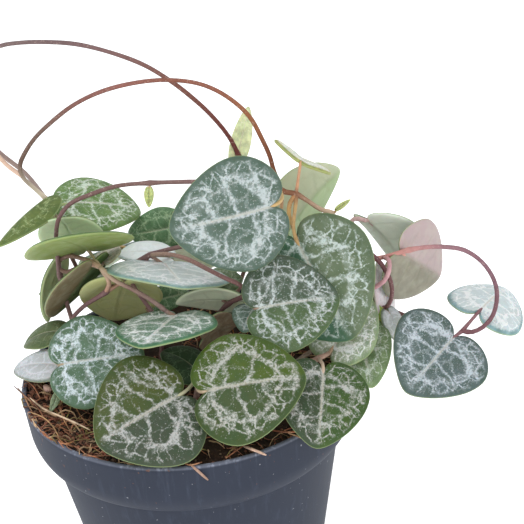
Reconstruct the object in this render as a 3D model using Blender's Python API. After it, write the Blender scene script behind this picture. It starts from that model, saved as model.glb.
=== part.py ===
"""A potted string of hearts: a thin nursery pot, its soil, and leafy vines of thick heart-shaped leaves.

Lengths are in millimetres until a mesh is made, where MM turns them into metres. The part stands on
the floor at z = 0, with the origin in the middle of the pot's underside.
"""

import math
from collections import namedtuple

import bmesh
import bpy
import numpy as np
from mathutils import Vector, noise

MM = 0.001

# The pot: a collar that flares out over a tapered body, with drain holes in its floor.
POT_HEIGHT = 60.0
RIM_RADIUS = 33.7
COLLAR_RADIUS = 33.0
COLLAR_STRAIGHT = 7.6
NECK_RADIUS = 29.3
COLLAR_HEIGHT = 12.8
FOOT_RADIUS = 20.0
FOOT_ROUND = 1.0
WALL = 1.0
FLOOR = 1.5
POT_SIDES = 44
DRAIN_COUNT = 6
DRAIN_RADIUS = 2.2
DRAIN_CIRCLE = 13.5
DRAIN_TURN = 0.3
DRAIN_SIDES = 8

# The soil: filled to just under the rim, higher to the left, with a lumpy top and a hole for each root.
GAP = 0.3
SOIL_LEVEL = POT_HEIGHT - 1.8
SOIL_LUMP = 0.8
SOIL_LUMP_SIZE = 5.0
SOIL_MOUND = 1.3
SOIL_RINGS = 5
SOIL_SIDES = 26
ROOT_DEPTH = 7.0
ROOT_STUB = 2.5
HOLE_SIDES = 8

# The stems and leaves.
STEM_RADIUS = 0.46
STEM_SIDES = 5
STEM_STEP = 5.0
STALK_RADIUS = 0.42
STALK_SIDES = 4
STALK_STEPS = 3
STALK_SINK = 1.6
BLADE_THICKNESS = 1.0
MARGIN_THICKNESS = 0.7
BLADE_HEART = 0.36
BLADE_RING = 0.58
LOBE_STEPS = (0.0, 0.24, 0.5, 0.76)
SIDE_STEPS = (0.0, 0.3, 0.58, 0.84)
SMALL_LEAF = 8.0

# The line of sight that the front of the plant is laid out along. It slopes down to the pot, with
# the pot leaning a little in it. Places in the view are steps of VIEW_STEP across and down from its
# top left corner, as they are seen at the rim's distance, and millimetres nearer than the rim.
SIGHT_SLOPE = math.radians(30.0)
SIGHT_LEAN = math.radians(6.0)
SIGHT_DISTANCE = 480.0
VIEW_STEP = 0.2
VIEW_MIDDLE = (262.0, 262.0)
RIM_IN_VIEW = (189.0, 371.0)

RIM_MIDDLE = np.array([0.0, 0.0, POT_HEIGHT])
ASIDE = np.array([1.0, 0.0, 0.0])
ALOFT = np.array([0.0, math.sin(SIGHT_SLOPE), math.cos(SIGHT_SLOPE)])
TOWARDS = np.array([0.0, -math.cos(SIGHT_SLOPE), math.sin(SIGHT_SLOPE)])
RIGHT = ASIDE * math.cos(SIGHT_LEAN) - ALOFT * math.sin(SIGHT_LEAN)
UP = ASIDE * math.sin(SIGHT_LEAN) + ALOFT * math.cos(SIGHT_LEAN)
SIGHT_MIDDLE = (
    RIM_MIDDLE
    + RIGHT * (VIEW_MIDDLE[0] - RIM_IN_VIEW[0]) * VIEW_STEP
    + UP * (RIM_IN_VIEW[1] - VIEW_MIDDLE[1]) * VIEW_STEP
)

Leaf = namedtuple("Leaf", "at notch tip lobe fold droop curl", defaults=(1.3, 1.5, 1.0))
Vine = namedtuple("Vine", "frame roots strands leaves")


def seen(across, down, near):
    """A place in the view, near millimetres this side of the rim's middle. A nearer place is closer to
    the middle of the view for the same steps."""
    spread = VIEW_STEP * (1 - near / SIGHT_DISTANCE)
    right = RIGHT * (across - VIEW_MIDDLE[0]) * spread
    up = UP * (VIEW_MIDDLE[1] - down) * spread
    return SIGHT_MIDDLE + right + up + TOWARDS * near


def above_rim(x, y, height):
    """A place given by x and y from the pot's middle and its height above the rim."""
    return np.array([x, y, POT_HEIGHT + height])


# Each vine rises from its roots at (x, y) in the soil, one for each of its first strands. The points of
# its strands are places in its frame, or the (strand, point) of an earlier strand that it joins. A
# leaf's stalk leaves the (strand, point) that it names. Its notch and tip are the ends of the midrib,
# and its lobe is the widest place of the half on the left, as one looks from above along the midrib to
# the tip. fold lifts the two halves, droop bends their margins down, and curl arches the midrib.
VINES = {
    "vine_arches": Vine(
        frame=seen,
        roots=[(-14.0, 13.0)],
        strands=[
            [
                (100, 310, -10), (78, 270, -8), (60, 232, -5), (52, 210, -2), (46, 199, 0), (34, 188, 1.5),
                (22, 176, 3), (20, 165, 4), (26, 151, 5), (35, 138, 6.5), (47, 126, 8), (72, 106, 10),
                (100, 92, 11), (134, 83, 12), (167, 80, 12), (200, 84, 11), (226, 96, 10), (249, 116, 9),
                (262, 139, 9), (270, 157, 9.5), (275, 176, 10), (281, 190, 10.5), (296, 194, 10),
                (308, 201, 9.5), (320, 209, 9), (334, 213, 8),
            ],
            [
                (0, 4), (26, 174, -1), (0, 153, 0), (-14, 138, 1), (-24, 118, 2), (-28, 95, 3),
                (-24, 72, 4), (-14, 54, 5), (0, 46, 6), (17, 43, 6), (42, 42, 6), (75, 44, 6),
                (109, 52, 7), (144, 65, 7.5), (172, 82, 7.5), (189, 95, 7), (210, 114, 6),
                (229, 137, 5), (239, 157, 4), (244, 176, 2), (238, 196, 0), (218, 208, -2), (196, 216, -4),
            ],
            [(0, 6), (8, 166, 3), (-5, 152, 2.5), (1, 3)],
            [(0, 22), (290, 203, 10.5), (289, 215, 10), (293, 228, 9.5)],
        ],
        leaves=[
            Leaf((0, 20), (271, 206, 23), (166, 231, 26), (235, 274, 22), 1.8, 1.4, 1.2),
            Leaf((0, 21), (288, 227, 0.5), (341, 167.5, -4), (325, 227, -8), 2.9, 0.9, 0.7),
            Leaf((0, 22), (300.5, 162, 13), (300, 159, 4), (272, 144, 11), 1.7, 0.9, 0.3),
            Leaf((0, 22), (297, 241, 12.8), (354, 342, 14), (375.5, 250, 15), 1.2, 1.5, 1.8),
            Leaf((0, 25), (337, 209, 9), (351, 199, 10), (342.5, 201.5, 9.5), 0.3, 0.2, 0.1),
            Leaf((0, 4), (46, 200, 1), (-3, 249, 7), (34, 218, 8), -2.4, 0.6, 0.6),
            Leaf((0, 3), (65, 205, -6), (143, 213, -9), (89, 180, -15)),
            Leaf((0, 3), (75, 245, 0), (60, 217, 9), (103, 233, 4)),
            Leaf((1, 18), (236, 160, 3), (249, 105, 2), (230.5, 138, 3), 0.6, 0.2, 0.3),
            Leaf((1, 22), (178, 225, -9), (127, 234, -11.5), (160, 250, -11.5)),
        ],
    ),
    "vine_weave": Vine(
        frame=seen,
        roots=[(-19.0, 6.0), (-5.0, 4.0)],
        strands=[
            [
                (74, 345, -1), (72, 320, 2), (83, 307, 3), (95, 299, 5), (106, 292, 6), (117, 281, 3.5),
                (132, 265, 2.5), (150, 255, 3.5), (175, 248, 4), (205, 243, 5),
            ],
            [
                (161, 358, -2), (162, 345, -1), (158, 325, 1), (152, 312, 4), (142, 298, 5), (133, 285, 5),
                (134, 274, 1), (0, 7),
            ],
            [(0, 4), (109, 282, 8), (100, 267, 9)],
            [(2, 2), (114, 280, 12), (134, 290, 13), (154, 302, 13), (166, 311, 13)],
            [
                (0, 7), (167, 254, 6), (187, 259, 9), (209, 270, 13), (225, 278, 16.2), (240, 285, 16.2),
                (250, 296, 15.2),
            ],
            [
                (0, 1), (66, 300, 0), (60, 275, 1), (57, 252, 4), (56, 237, 8.6), (59, 218, 10.6),
                (70, 204, 10), (92, 194, 9), (117, 186, 8), (150, 183, 8), (178, 182, 8), (200, 182, 9),
                (222, 186, 10), (240, 196, 10),
            ],
            [
                (2, 2), (92, 262, 8), (80, 258, 5), (68, 256, 3), (59, 261, 2), (60, 269, 1.5),
                (68, 272, 2.5), (75, 268, 4),
            ],
        ],
        leaves=[
            Leaf((0, 4), (124, 282, 5), (114, 322, -9), (78.5, 295, 1), 0.8, 1.5, 0.4),
            Leaf((2, 2), (86.5, 249, 4), (59.5, 238.5, 21), (133, 235, 11), 0.9, 1.6, 0.6),
            Leaf((2, 2), (90, 265.5, 7), (52, 318, -3), (54, 292, 10.5), 1.0, 0.5, 0.0),
            Leaf((2, 2), (104, 263, 3), (113, 247, -1), (98, 252, -3), 0.6, 0.4, 0.3),
            Leaf((3, 4), (176, 316, 12), (141, 349, 28), (221.5, 319.3, 17), 1.5, 1.9, 0.1),
            Leaf((4, 6), (257, 309, 19.5), (341.5, 297, 17), (269, 258, 15.5), 1.7, 0.7, 0.5),
            Leaf((0, 7), (164, 265, 3), (184, 289, 20), (234, 279, 7), 0.8, 1.6, 0.0),
            Leaf((0, 7), (168, 257, -3), (116, 256, -4), (146, 270, 0)),
            Leaf((5, 9), (149, 189, 8), (149, 208, 8), (154, 198, 8), 0.3, 0.2, 0.1),
            Leaf((5, 13), (238, 212, 8), (205, 240, 12), (250, 245, 14)),
            Leaf((5, 2), (60, 263, -3), (48, 324, -6.5), (45, 285, -1.5)),
            Leaf((1, 2), (148, 303, -6), (190, 292, -13), (156, 287, -8)),
        ],
    ),
    "vine_middle": Vine(
        frame=seen,
        roots=[(3.0, 2.0)],
        strands=[
            [
                (208, 345, 0), (216, 318, 4), (228, 304, 7), (242, 297, 9), (256, 290, 9), (268, 280, 9),
            ],
        ],
        leaves=[
            Leaf((0, 3), (238, 301, 6.4), (174, 304.5, 4.4), (215, 290.5, 10.2)),
            Leaf((0, 1), (204, 337, 9.6), (240, 322, 6.4), (231, 341, 3.4)),
            Leaf((0, 4), (256, 308, 8.5), (243, 334, 11.4), (268, 326, 11.6)),
            Leaf((0, 2), (208, 288, 0), (244, 279, -0.5), (214, 270, -2)),
        ],
    ),
    "vine_front": Vine(
        frame=seen,
        roots=[(1.0, -12.0)],
        strands=[
            [(197, 394, 14), (197, 380, 18)],
        ],
        leaves=[
            Leaf((0, 1), (179, 396, 25), (95.5, 447, 29), (168, 475, 31), 1.0, 1.8, 1.1),
            Leaf((0, 1), (207, 392, 27.5), (309, 377, 28), (234, 332, 23), 0.7, 2.4, 1.1),
            Leaf((0, 0), (199, 374, 7), (160, 352, 5), (167, 377, 10)),
        ],
    ),
    "vine_front_right": Vine(
        frame=seen,
        roots=[(12.0, -10.0)],
        strands=[
            [(275, 382, 12), (300, 367, 15), (319, 358, 16), (328, 354, 13)],
        ],
        leaves=[
            Leaf((0, 2), (323, 371, 22), (316, 451, 27), (370, 379, 21), 1.8, 0.9, 1.2),
            Leaf((0, 3), (331, 351, 10), (369, 294, 4.5), (314, 314, 5.8)),
        ],
    ),
    "vine_right": Vine(
        frame=seen,
        roots=[(18.0, 2.0)],
        strands=[
            [
                (300, 330, -2), (330, 295, 0), (355, 272, 2), (372, 260, 4), (384, 257, 5), (398, 253, 6),
                (409, 250, 7), (428, 247, 8), (446, 247, 8), (464, 250, 8), (482, 262, 7), (494, 280, 6),
                (497, 296, 5), (493, 315, 5), (483, 327, 5), (472, 332, 5), (462, 331, 5),
            ],
            [(0, 1), (338, 262, -1), (345, 236, 0), (354, 219, 1), (364, 220, 1.5)],
            [(0, 4), (389, 261, 8.6), (389, 271, 10.4), (384, 281, 10.4), (370, 290, 9)],
        ],
        leaves=[
            Leaf((0, 6), (402, 253.5, 5), (440.5, 277.5, -9), (390, 298, 2), 1.6, 0.7, -0.2),
            Leaf((1, 4), (370, 222, -1), (409, 282, -7), (376, 271, -12), 2.4, -0.4, 1.5),
            Leaf((0, 16), (453, 338, 5), (404.5, 394, 13.5), (478.5, 389, 9), 2.4, 0.5, 0.4),
            Leaf((0, 16), (480, 311, 3), (507, 290, -11), (452, 286, -2.4), -1.0, 1.8),
        ],
    ),
    "vine_right_low": Vine(
        frame=seen,
        roots=[(20.0, -4.0)],
        strands=[
            [(320, 345, 3), (350, 322, 2), (372, 312, 2), (386, 308, 2), (396, 312, 2), (408, 317, 1)],
            [
                (0, 3), (391, 299, 5.4), (392, 288, 7.1), (389, 277, 7.9), (384, 268, 7.2), (377, 259, 6.8),
                (367, 251, 7),
            ],
        ],
        leaves=[
            Leaf((0, 2), (357, 326, 2.5), (373, 390, 10.5), (395, 352, 6.5)),
            Leaf((0, 3), (376.5, 307, 3), (381, 330, 1), (384, 317, 2), 0.4, 0.2, 0.1),
            Leaf((0, 3), (383, 309, 1), (377, 259, -6), (371.5, 284, 3)),
            Leaf((0, 3), (388, 312, 3), (397, 342, 1), (401, 320, 1)),
        ],
    ),
    "vine_left": Vine(
        frame=seen,
        roots=[(-22.0, -4.0)],
        strands=[
            [(66, 385, 6), (61, 368, 7), (60, 350, 5), (64, 336, 3)],
        ],
        leaves=[
            Leaf((0, 1), (61, 365, 11), (147, 354.5, 12.4), (81, 315.5, 8.4), 1.1, 1.7, 0.8),
            Leaf((0, 1), (60, 366, 4), (14, 371, -3), (42, 384, 5)),
            Leaf((0, 3), (60, 332, 0), (24, 347, -6), (43, 350, 1)),
            Leaf((0, 0), (58, 394, 7), (50, 413, 9), (58, 406, 8), 0.4, 0.3, 0.2),
        ],
    ),
    "vine_crown": Vine(
        frame=above_rim,
        roots=[(8.0, 8.0)],
        strands=[
            [(8, 9, 8), (10, 12, 14), (11, 16, 17)],
        ],
        leaves=[
            Leaf((0, 2), (11, 20, 17), (11, 36, 10.5), (2, 26, 14.5)),
            Leaf((0, 1), (15, 11, 17.5), (27, 9, 13), (20, 18, 15)),
        ],
    ),
    "vine_back_left": Vine(
        frame=above_rim,
        roots=[(-8.0, 22.0)],
        strands=[
            [(-9, 25, 5), (-10, 29, 8), (-8, 33, 9), (-3, 36, 9), (1, 38, 7)],
        ],
        leaves=[
            Leaf((0, 0), (-14, 28, 7), (-31, 33, 2), (-21, 21, 8)),
            Leaf((0, 2), (-12.5, 37, 9), (-18, 49, -3), (-22, 38, 5)),
            Leaf((0, 4), (1, 41, 7), (3, 50, -7), (-7, 45, 3)),
        ],
    ),
    "vine_back_right": Vine(
        frame=above_rim,
        roots=[(10.0, 20.0)],
        strands=[
            [(12, 23, 6), (15, 26, 10), (20, 28, 11), (26, 26, 10), (31, 21, 8)],
        ],
        leaves=[
            Leaf((0, 1), (16, 31, 9.5), (16, 46, 2), (9, 37, 8)),
            Leaf((0, 2), (24, 31, 11), (35, 37, 0), (24, 40, 6)),
            Leaf((0, 4), (32, 21, 8), (42, 15, 1), (38, 26, 5)),
        ],
    ),
}


def heart_half(t_lobe, t_side):
    """Half of the leaf's outline, from the notch round the lobe and along the side to just before the
    tip, in leaf lengths along the midrib and shares of the half width across it."""
    lobe = bezier([(0.0, 0.0), (-0.34, 0.18), (-0.02, 1.03), (0.29, 1.0)], t_lobe)
    side = bezier([(0.29, 1.0), (0.60, 0.97), (0.93, 0.40), (1.0, 0.0)], t_side)
    return np.vstack([lobe, side])


def bezier(points, steps):
    """Points on the cubic curve with these four control points."""
    a, b, c, d = (np.array(point, dtype=float) for point in points)
    t = np.array(steps, dtype=float)[:, None]
    return (1 - t) ** 3 * a + 3 * (1 - t) ** 2 * t * b + 3 * (1 - t) * t**2 * c + t**3 * d


def unit(vector):
    return vector / np.linalg.norm(vector)


def smooth_path(points, step):
    """Points about a step apart on the rounded curve through the given points."""
    points = np.array(points, dtype=float)
    ends = np.vstack([2 * points[0] - points[1], points, 2 * points[-1] - points[-2]])
    knots = np.concatenate([[0.0], np.cumsum(np.sqrt(np.linalg.norm(np.diff(ends, axis=0), axis=1)))])
    path = [points[:1]]
    for i in range(1, len(ends) - 2):
        count = max(1, round(np.linalg.norm(ends[i + 1] - ends[i]) / step))
        t = np.linspace(knots[i], knots[i + 1], count + 1)[1:, None]
        t0, t1, t2, t3 = knots[i - 1 : i + 3]
        p0, p1, p2, p3 = ends[i - 1 : i + 3]
        a1 = p0 + (p1 - p0) * (t - t0) / (t1 - t0)
        a2 = p1 + (p2 - p1) * (t - t1) / (t2 - t1)
        a3 = p2 + (p3 - p2) * (t - t2) / (t3 - t2)
        b1 = a1 + (a2 - a1) * (t - t0) / (t2 - t0)
        b2 = a2 + (a3 - a2) * (t - t1) / (t3 - t1)
        path.append(b1 + (b2 - b1) * (t - t1) / (t2 - t1))
    return np.vstack(path)


def tube(path, radius, sides):
    """A closed tube along a path: rings square to it, carried along without twist, and capped."""
    tangents = np.gradient(path, axis=0)
    tangents /= np.linalg.norm(tangents, axis=1)[:, None]
    across = unit(np.cross(tangents[0], RIGHT + TOWARDS * 0.3))
    outer = radius / math.cos(math.pi / sides)
    angles = np.arange(sides) * 2 * math.pi / sides
    rings = []
    for point, tangent in zip(path, tangents):
        across = unit(across - tangent * np.dot(across, tangent))
        over = np.cross(tangent, across)
        rings.append(point + outer * (np.outer(np.cos(angles), across) + np.outer(np.sin(angles), over)))
    corners = np.vstack(rings + [path[:1], path[-1:]])
    first, last = len(corners) - 2, len(corners) - 1
    end = (len(path) - 1) * sides
    faces = []
    for side in range(sides):
        following = (side + 1) % sides
        faces.append((first, following, side))
        faces.append((last, end + side, end + following))
        for ring in range(0, end, sides):
            faces.append((ring + side, ring + following, ring + sides + following, ring + sides + side))
    return corners, faces


def blade_frame(leaf, place):
    """The leaf's notch, the directions along its midrib, across to its left lobe and out of its upper
    face, its length and its half width."""
    notch, tip, lobe = place(*leaf.notch), place(*leaf.tip), place(*leaf.lobe)
    along = unit(tip - notch)
    reach = lobe - notch
    across = reach - along * np.dot(reach, along)
    return notch, along, unit(across), np.cross(along, unit(across)), np.linalg.norm(tip - notch), \
        np.linalg.norm(across)


def blade_points(leaf, place, shares):
    """Places on the middle of a blade's thickness, from shares of its length and half width. Its halves
    rise from the midrib and droop to the margin, and its midrib arches between its ends."""
    notch, along, across, out, length, half = blade_frame(leaf, place)
    x, y = shares[:, 0], shares[:, 1]
    rise = leaf.fold * (np.sqrt(y**2 + 0.01) - 0.1) - leaf.droop * y**2 + leaf.curl * 4 * x * (1 - x)
    return notch + np.outer(x * length, along) + np.outer(y * half, across) + np.outer(rise, out), out


def blade(leaf, place):
    """A closed heart-shaped blade: a fan about a point on the midrib, one ring and the margin, alike on
    both faces, thinner at the margin. A small leaf has half as many corners."""
    every = 2 if np.linalg.norm(place(*leaf.tip) - place(*leaf.notch)) < SMALL_LEAF else 1
    half = heart_half(LOBE_STEPS[::every], SIDE_STEPS[::every])
    margin = np.vstack([half, [(1.0, 0.0)], half[:0:-1] * (1, -1)])
    count = len(margin)
    heart = np.array([[BLADE_HEART, 0.0]])
    shares = np.vstack([heart, heart + (margin - heart) * BLADE_RING, margin])
    middle, out = blade_points(leaf, place, shares)
    thickness = np.full((len(shares), 1), BLADE_THICKNESS)
    thickness[-count:] = MARGIN_THICKNESS
    corners = np.vstack([middle + out * thickness / 2, middle - out * thickness / 2])
    under = len(shares)
    faces = []
    for i in range(count):
        ring, ring_next = 1 + i, 1 + (i + 1) % count
        edge, edge_next = ring + count, ring_next + count
        for upper in ((0, ring_next, ring), (ring, edge_next, edge), (ring, ring_next, edge_next)):
            faces.append(upper)
            faces.append(tuple(under + corner for corner in reversed(upper)))
        faces.append((edge, edge_next, under + edge_next))
        faces.append((edge, under + edge_next, under + edge))
    return corners, faces


def stalk(leaf, place, start):
    """A leaf's stalk: it leaves the stem towards the notch, comes in line with the midrib there, and
    ends inside the blade."""
    notch, along, _, _, length, _ = blade_frame(leaf, place)
    sink = STALK_SINK / length
    inside, _ = blade_points(leaf, place, np.array([(sink * 0.3, 0.0), (sink, 0.0)]))
    pull = np.linalg.norm(inside[0] - start) * 0.38
    out_of_stem = start + unit(inside[0] - start) * pull
    into_blade = inside[0] - along * pull
    path = bezier([start, out_of_stem, into_blade, inside[0]], np.linspace(0, 1, STALK_STEPS + 1))
    return tube(np.vstack([path, inside[1:]]), STALK_RADIUS, STALK_SIDES)


def soil_height(x, y):
    """The soil's level at (x, y): lumps, and a mound against the left of the rim."""
    lump = noise.noise(Vector((x / SOIL_LUMP_SIZE, y / SOIL_LUMP_SIZE, 0.0)))
    mound = max(0.0, -x / RIM_RADIUS) ** 2
    return SOIL_LEVEL + SOIL_LUMP * lump + SOIL_MOUND * mound


def root_points(root):
    """The straight foot of a stem, from the bottom of its hole to a little above the soil."""
    x, y = root
    level = soil_height(x, y)
    heights = (level - ROOT_DEPTH + GAP, level - ROOT_DEPTH / 2, level, level + ROOT_STUB)
    return [np.array([x, y, height]) for height in heights]


def strand_points(vine):
    """The points of each of a vine's strands as places in space."""
    strands = []
    for points in vine.strands:
        strands.append([vine.frame(*point) if len(point) == 3 else strands[point[0]][point[1]]
                        for point in points])
    return strands


def make_object(name, corners, faces, material=None):
    """An object whose mesh has these corners, given in millimetres."""
    mesh = bpy.data.meshes.new(name)
    mesh.from_pydata((np.asarray(corners) * MM).tolist(), [], [tuple(face) for face in faces])
    mesh.update()
    made = bpy.data.objects.new(name, mesh)
    bpy.context.scene.collection.objects.link(made)
    if material:
        mesh.materials.append(material)
    return made


def combine(target, pieces, operation, solver="EXACT"):
    """One Boolean of the pieces on the target, applied, after which the pieces are removed."""
    group = bpy.data.collections.new(target.name + "_pieces")
    bpy.context.scene.collection.children.link(group)
    for piece in pieces:
        bpy.context.scene.collection.objects.unlink(piece)
        group.objects.link(piece)
    boolean = target.modifiers.new("combine", "BOOLEAN")
    boolean.operation = operation
    boolean.operand_type = "COLLECTION"
    boolean.collection = group
    boolean.solver = solver
    evaluated = target.evaluated_get(bpy.context.evaluated_depsgraph_get())
    result = bpy.data.meshes.new_from_object(evaluated)
    target.modifiers.clear()
    target.data = result
    for piece in pieces:
        bpy.data.objects.remove(piece)
    bpy.data.collections.remove(group)


def keep_largest(made):
    """Leaves an object with its largest skin, so that the scraps and sealed hollows of a union go."""
    grid = bmesh.new()
    grid.from_mesh(made.data)
    waiting = set(grid.faces)
    skins = []
    while waiting:
        edge_of_skin = [waiting.pop()]
        skin = list(edge_of_skin)
        while edge_of_skin:
            face = edge_of_skin.pop()
            beside = {other for edge in face.edges for other in edge.link_faces} & waiting
            waiting -= beside
            edge_of_skin += beside
            skin += beside
        skins.append(skin)
    skins.sort(key=len)
    for skin in skins[:-1]:
        bmesh.ops.delete(grid, geom=skin, context="FACES")
    grid.to_mesh(made.data)
    grid.free()


def round_off(made, degrees):
    """Shades an object smooth, apart from its sharp edges."""
    made.data.shade_smooth()
    made.data.set_sharp_from_angle(angle=math.radians(degrees))


def finish(name, colour, roughness):
    """A plain material."""
    material = bpy.data.materials.new(name)
    material.use_nodes = True
    shader = material.node_tree.nodes["Principled BSDF"]
    shader.inputs["Base Color"].default_value = (*colour, 1.0)
    shader.inputs["Roughness"].default_value = roughness
    return material


def turned(profile, sides):
    """A closed shape turned about the z axis from a profile of (radius, height) points that starts on
    the axis, goes out and round, and ends on the axis."""
    angles = np.arange(sides) * 2 * math.pi / sides
    corners = [np.array([[0.0, 0.0, profile[0][1]]])]
    for radius, height in profile[1:-1]:
        corners.append(np.column_stack([radius * np.cos(angles), radius * np.sin(angles),
                                        np.full(sides, height)]))
    corners.append(np.array([[0.0, 0.0, profile[-1][1]]]))
    corners = np.vstack(corners)
    last = len(corners) - 1
    faces = []
    for side in range(sides):
        following = (side + 1) % sides
        faces.append((0, 1 + following, 1 + side))
        faces.append((last, last - sides + side, last - sides + following))
        for ring in range(1, last - sides, sides):
            faces.append((ring + side, ring + following, ring + sides + following, ring + sides + side))
    return corners, faces


def pot_wall(inset):
    """The wall's outline from the foot up to the lip, moved inwards by inset."""
    neck = POT_HEIGHT - COLLAR_HEIGHT
    shoulder = bezier(
        [
            (NECK_RADIUS, neck),
            (NECK_RADIUS + 1.6, neck + 0.5),
            (COLLAR_RADIUS - 0.5, neck + 2.2),
            (COLLAR_RADIUS, POT_HEIGHT - COLLAR_STRAIGHT),
        ],
        (0.0, 0.25, 0.5, 0.75, 1.0),
    )
    outline = np.vstack([[(FOOT_RADIUS, 0.0)], shoulder, [(RIM_RADIUS, POT_HEIGHT)]])
    tangents = np.gradient(outline, axis=0)
    tangents /= np.linalg.norm(tangents, axis=1)[:, None]
    inwards = np.column_stack([-tangents[:, 1], tangents[:, 0]])
    inwards[-1] = (-1.0, 0.0)
    moved = outline + inwards * inset
    foot_slope = (outline[1] - outline[0])[0] / (outline[1] - outline[0])[1]
    moved[0] = (FOOT_RADIUS - inset, 0.0)
    return moved, foot_slope


def make_pot():
    outside, slope = pot_wall(0.0)
    inside, _ = pot_wall(WALL)
    lip = WALL * 0.3
    profile = [(0.0, 0.0), (FOOT_RADIUS - FOOT_ROUND, 0.0), (FOOT_RADIUS + slope * FOOT_ROUND, FOOT_ROUND)]
    profile += [tuple(point) for point in outside[1:-1]]
    profile += [(RIM_RADIUS, POT_HEIGHT - lip), (RIM_RADIUS - lip, POT_HEIGHT)]
    profile += [(RIM_RADIUS - WALL + lip, POT_HEIGHT), (RIM_RADIUS - WALL, POT_HEIGHT - lip)]
    profile += [tuple(point) for point in inside[-2:0:-1]]
    profile += [(inside[0][0] + slope * FLOOR, FLOOR), (0.0, FLOOR)]
    corners, faces = turned(profile, POT_SIDES)
    pot = make_object("pot", corners, faces, finish("slate_plastic", (0.075, 0.088, 0.125), 0.5))
    drills = []
    for i in range(DRAIN_COUNT):
        angle = (i + DRAIN_TURN) * 2 * math.pi / DRAIN_COUNT
        corners, faces = turned([(0, -1), (DRAIN_RADIUS, -1), (DRAIN_RADIUS, FLOOR + 1), (0, FLOOR + 1)],
                                DRAIN_SIDES)
        corners = corners + (DRAIN_CIRCLE * math.cos(angle), DRAIN_CIRCLE * math.sin(angle), 0.0)
        drills.append(make_object("drill", corners, faces))
    combine(pot, drills, "DIFFERENCE")
    round_off(pot, 35)


def make_soil():
    wall, slope = pot_wall(WALL + GAP + 0.06)
    floor = FLOOR + GAP
    top = SOIL_LEVEL - 0.5
    wall_above = wall[-2] + (wall[-1] - wall[-2]) * (top - wall[-2][1]) / (wall[-1] - wall[-2])[1]
    profile = [(0.0, floor), (wall[0][0] + slope * floor, floor)]
    profile += [tuple(point) for point in wall[1:-1]]
    rings = [wall_above[0] * (1 - i / SOIL_RINGS) for i in range(SOIL_RINGS)]
    profile += [(radius, top) for radius in rings] + [(0.0, top)]
    corners, faces = turned(profile, SOIL_SIDES)
    soil_top = corners[:, 2] == top
    corners[soil_top, 2] = [soil_height(x, y) for x, y in corners[soil_top, :2]]
    soil = make_object("soil", corners, faces, finish("coir_soil", (0.10, 0.055, 0.035), 0.95))
    drills = []
    for x, y in (root for vine in VINES.values() for root in vine.roots):
        level = soil_height(x, y)
        hole = (STEM_RADIUS / math.cos(math.pi / STEM_SIDES) + GAP) / math.cos(math.pi / HOLE_SIDES)
        corners, faces = turned([(0, level - ROOT_DEPTH), (hole, level - ROOT_DEPTH), (hole, level + 3),
                                 (0, level + 3)], HOLE_SIDES)
        drills.append(make_object("drill", corners + (x, y, 0.0), faces))
    combine(soil, drills, "DIFFERENCE")
    round_off(soil, 60)


def make_vine(name, vine, material):
    strands = strand_points(vine)
    feet = [root_points(root) for root in vine.roots]
    feet += [[]] * (len(strands) - len(feet))
    pieces = []
    for foot, points in zip(feet, strands):
        pieces.append(tube(smooth_path(foot + points, STEM_STEP), STEM_RADIUS, STEM_SIDES))
    for leaf in vine.leaves:
        pieces.append(blade(leaf, vine.frame))
        pieces.append(stalk(leaf, vine.frame, strands[leaf.at[0]][leaf.at[1]]))
    made = [make_object(name, *piece, material) for piece in pieces]
    combine(made[0], made[1:], "UNION", "MANIFOLD")
    keep_largest(made[0])
    round_off(made[0], 50)


def main():
    for old in list(bpy.data.objects):
        bpy.data.objects.remove(old)
    make_pot()
    make_soil()
    green = finish("leaf_green", (0.10, 0.16, 0.07), 0.5)
    for name, vine in VINES.items():
        make_vine(name, vine, green)


main()
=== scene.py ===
"""The looks of a potted string of hearts: its marbled leaves, wiry stems, coir soil and plastic pot.

Lengths are in millimetres until a mesh is made, where MM turns them into metres. Every closed shape is
rows of corners that go round, worked out with numpy, and each function says its formula in words.
"""

import math
from collections import namedtuple

import bpy
import numpy as np
from mathutils import Matrix


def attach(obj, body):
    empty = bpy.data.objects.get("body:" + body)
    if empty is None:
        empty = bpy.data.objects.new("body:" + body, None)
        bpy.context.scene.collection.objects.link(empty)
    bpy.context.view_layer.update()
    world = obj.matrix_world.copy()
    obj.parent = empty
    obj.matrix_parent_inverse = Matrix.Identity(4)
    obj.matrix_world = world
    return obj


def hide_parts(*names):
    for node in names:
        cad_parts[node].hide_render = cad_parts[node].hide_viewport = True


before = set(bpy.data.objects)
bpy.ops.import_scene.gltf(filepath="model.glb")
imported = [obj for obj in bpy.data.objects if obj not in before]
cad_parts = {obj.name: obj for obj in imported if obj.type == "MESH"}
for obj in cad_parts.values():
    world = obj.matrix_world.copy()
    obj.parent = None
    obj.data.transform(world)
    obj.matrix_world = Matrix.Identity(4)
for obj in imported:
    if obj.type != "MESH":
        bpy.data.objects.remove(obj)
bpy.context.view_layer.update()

MM = 0.001

# The pot.
POT_HEIGHT = 60.0
RIM_RADIUS = 33.7
COLLAR_RADIUS = 33.0
COLLAR_STRAIGHT = 7.6
NECK_RADIUS = 29.3
COLLAR_HEIGHT = 12.8
FOOT_RADIUS = 20.0
FLOOR_MIDDLE = 8.0
WALL = 1.0
INNER_RADIUS = RIM_RADIUS - WALL
FLOOR = 1.5
LIP_ROUND = 0.34
POT_SIDES = 176
SHARP_ANGLE = math.radians(40)
DRAIN_COUNT = 6
DRAIN_RADIUS = 2.2
DRAIN_CIRCLE = 13.5
DRAIN_TURN = 0.3
DRAIN_SIDES = 40

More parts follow.
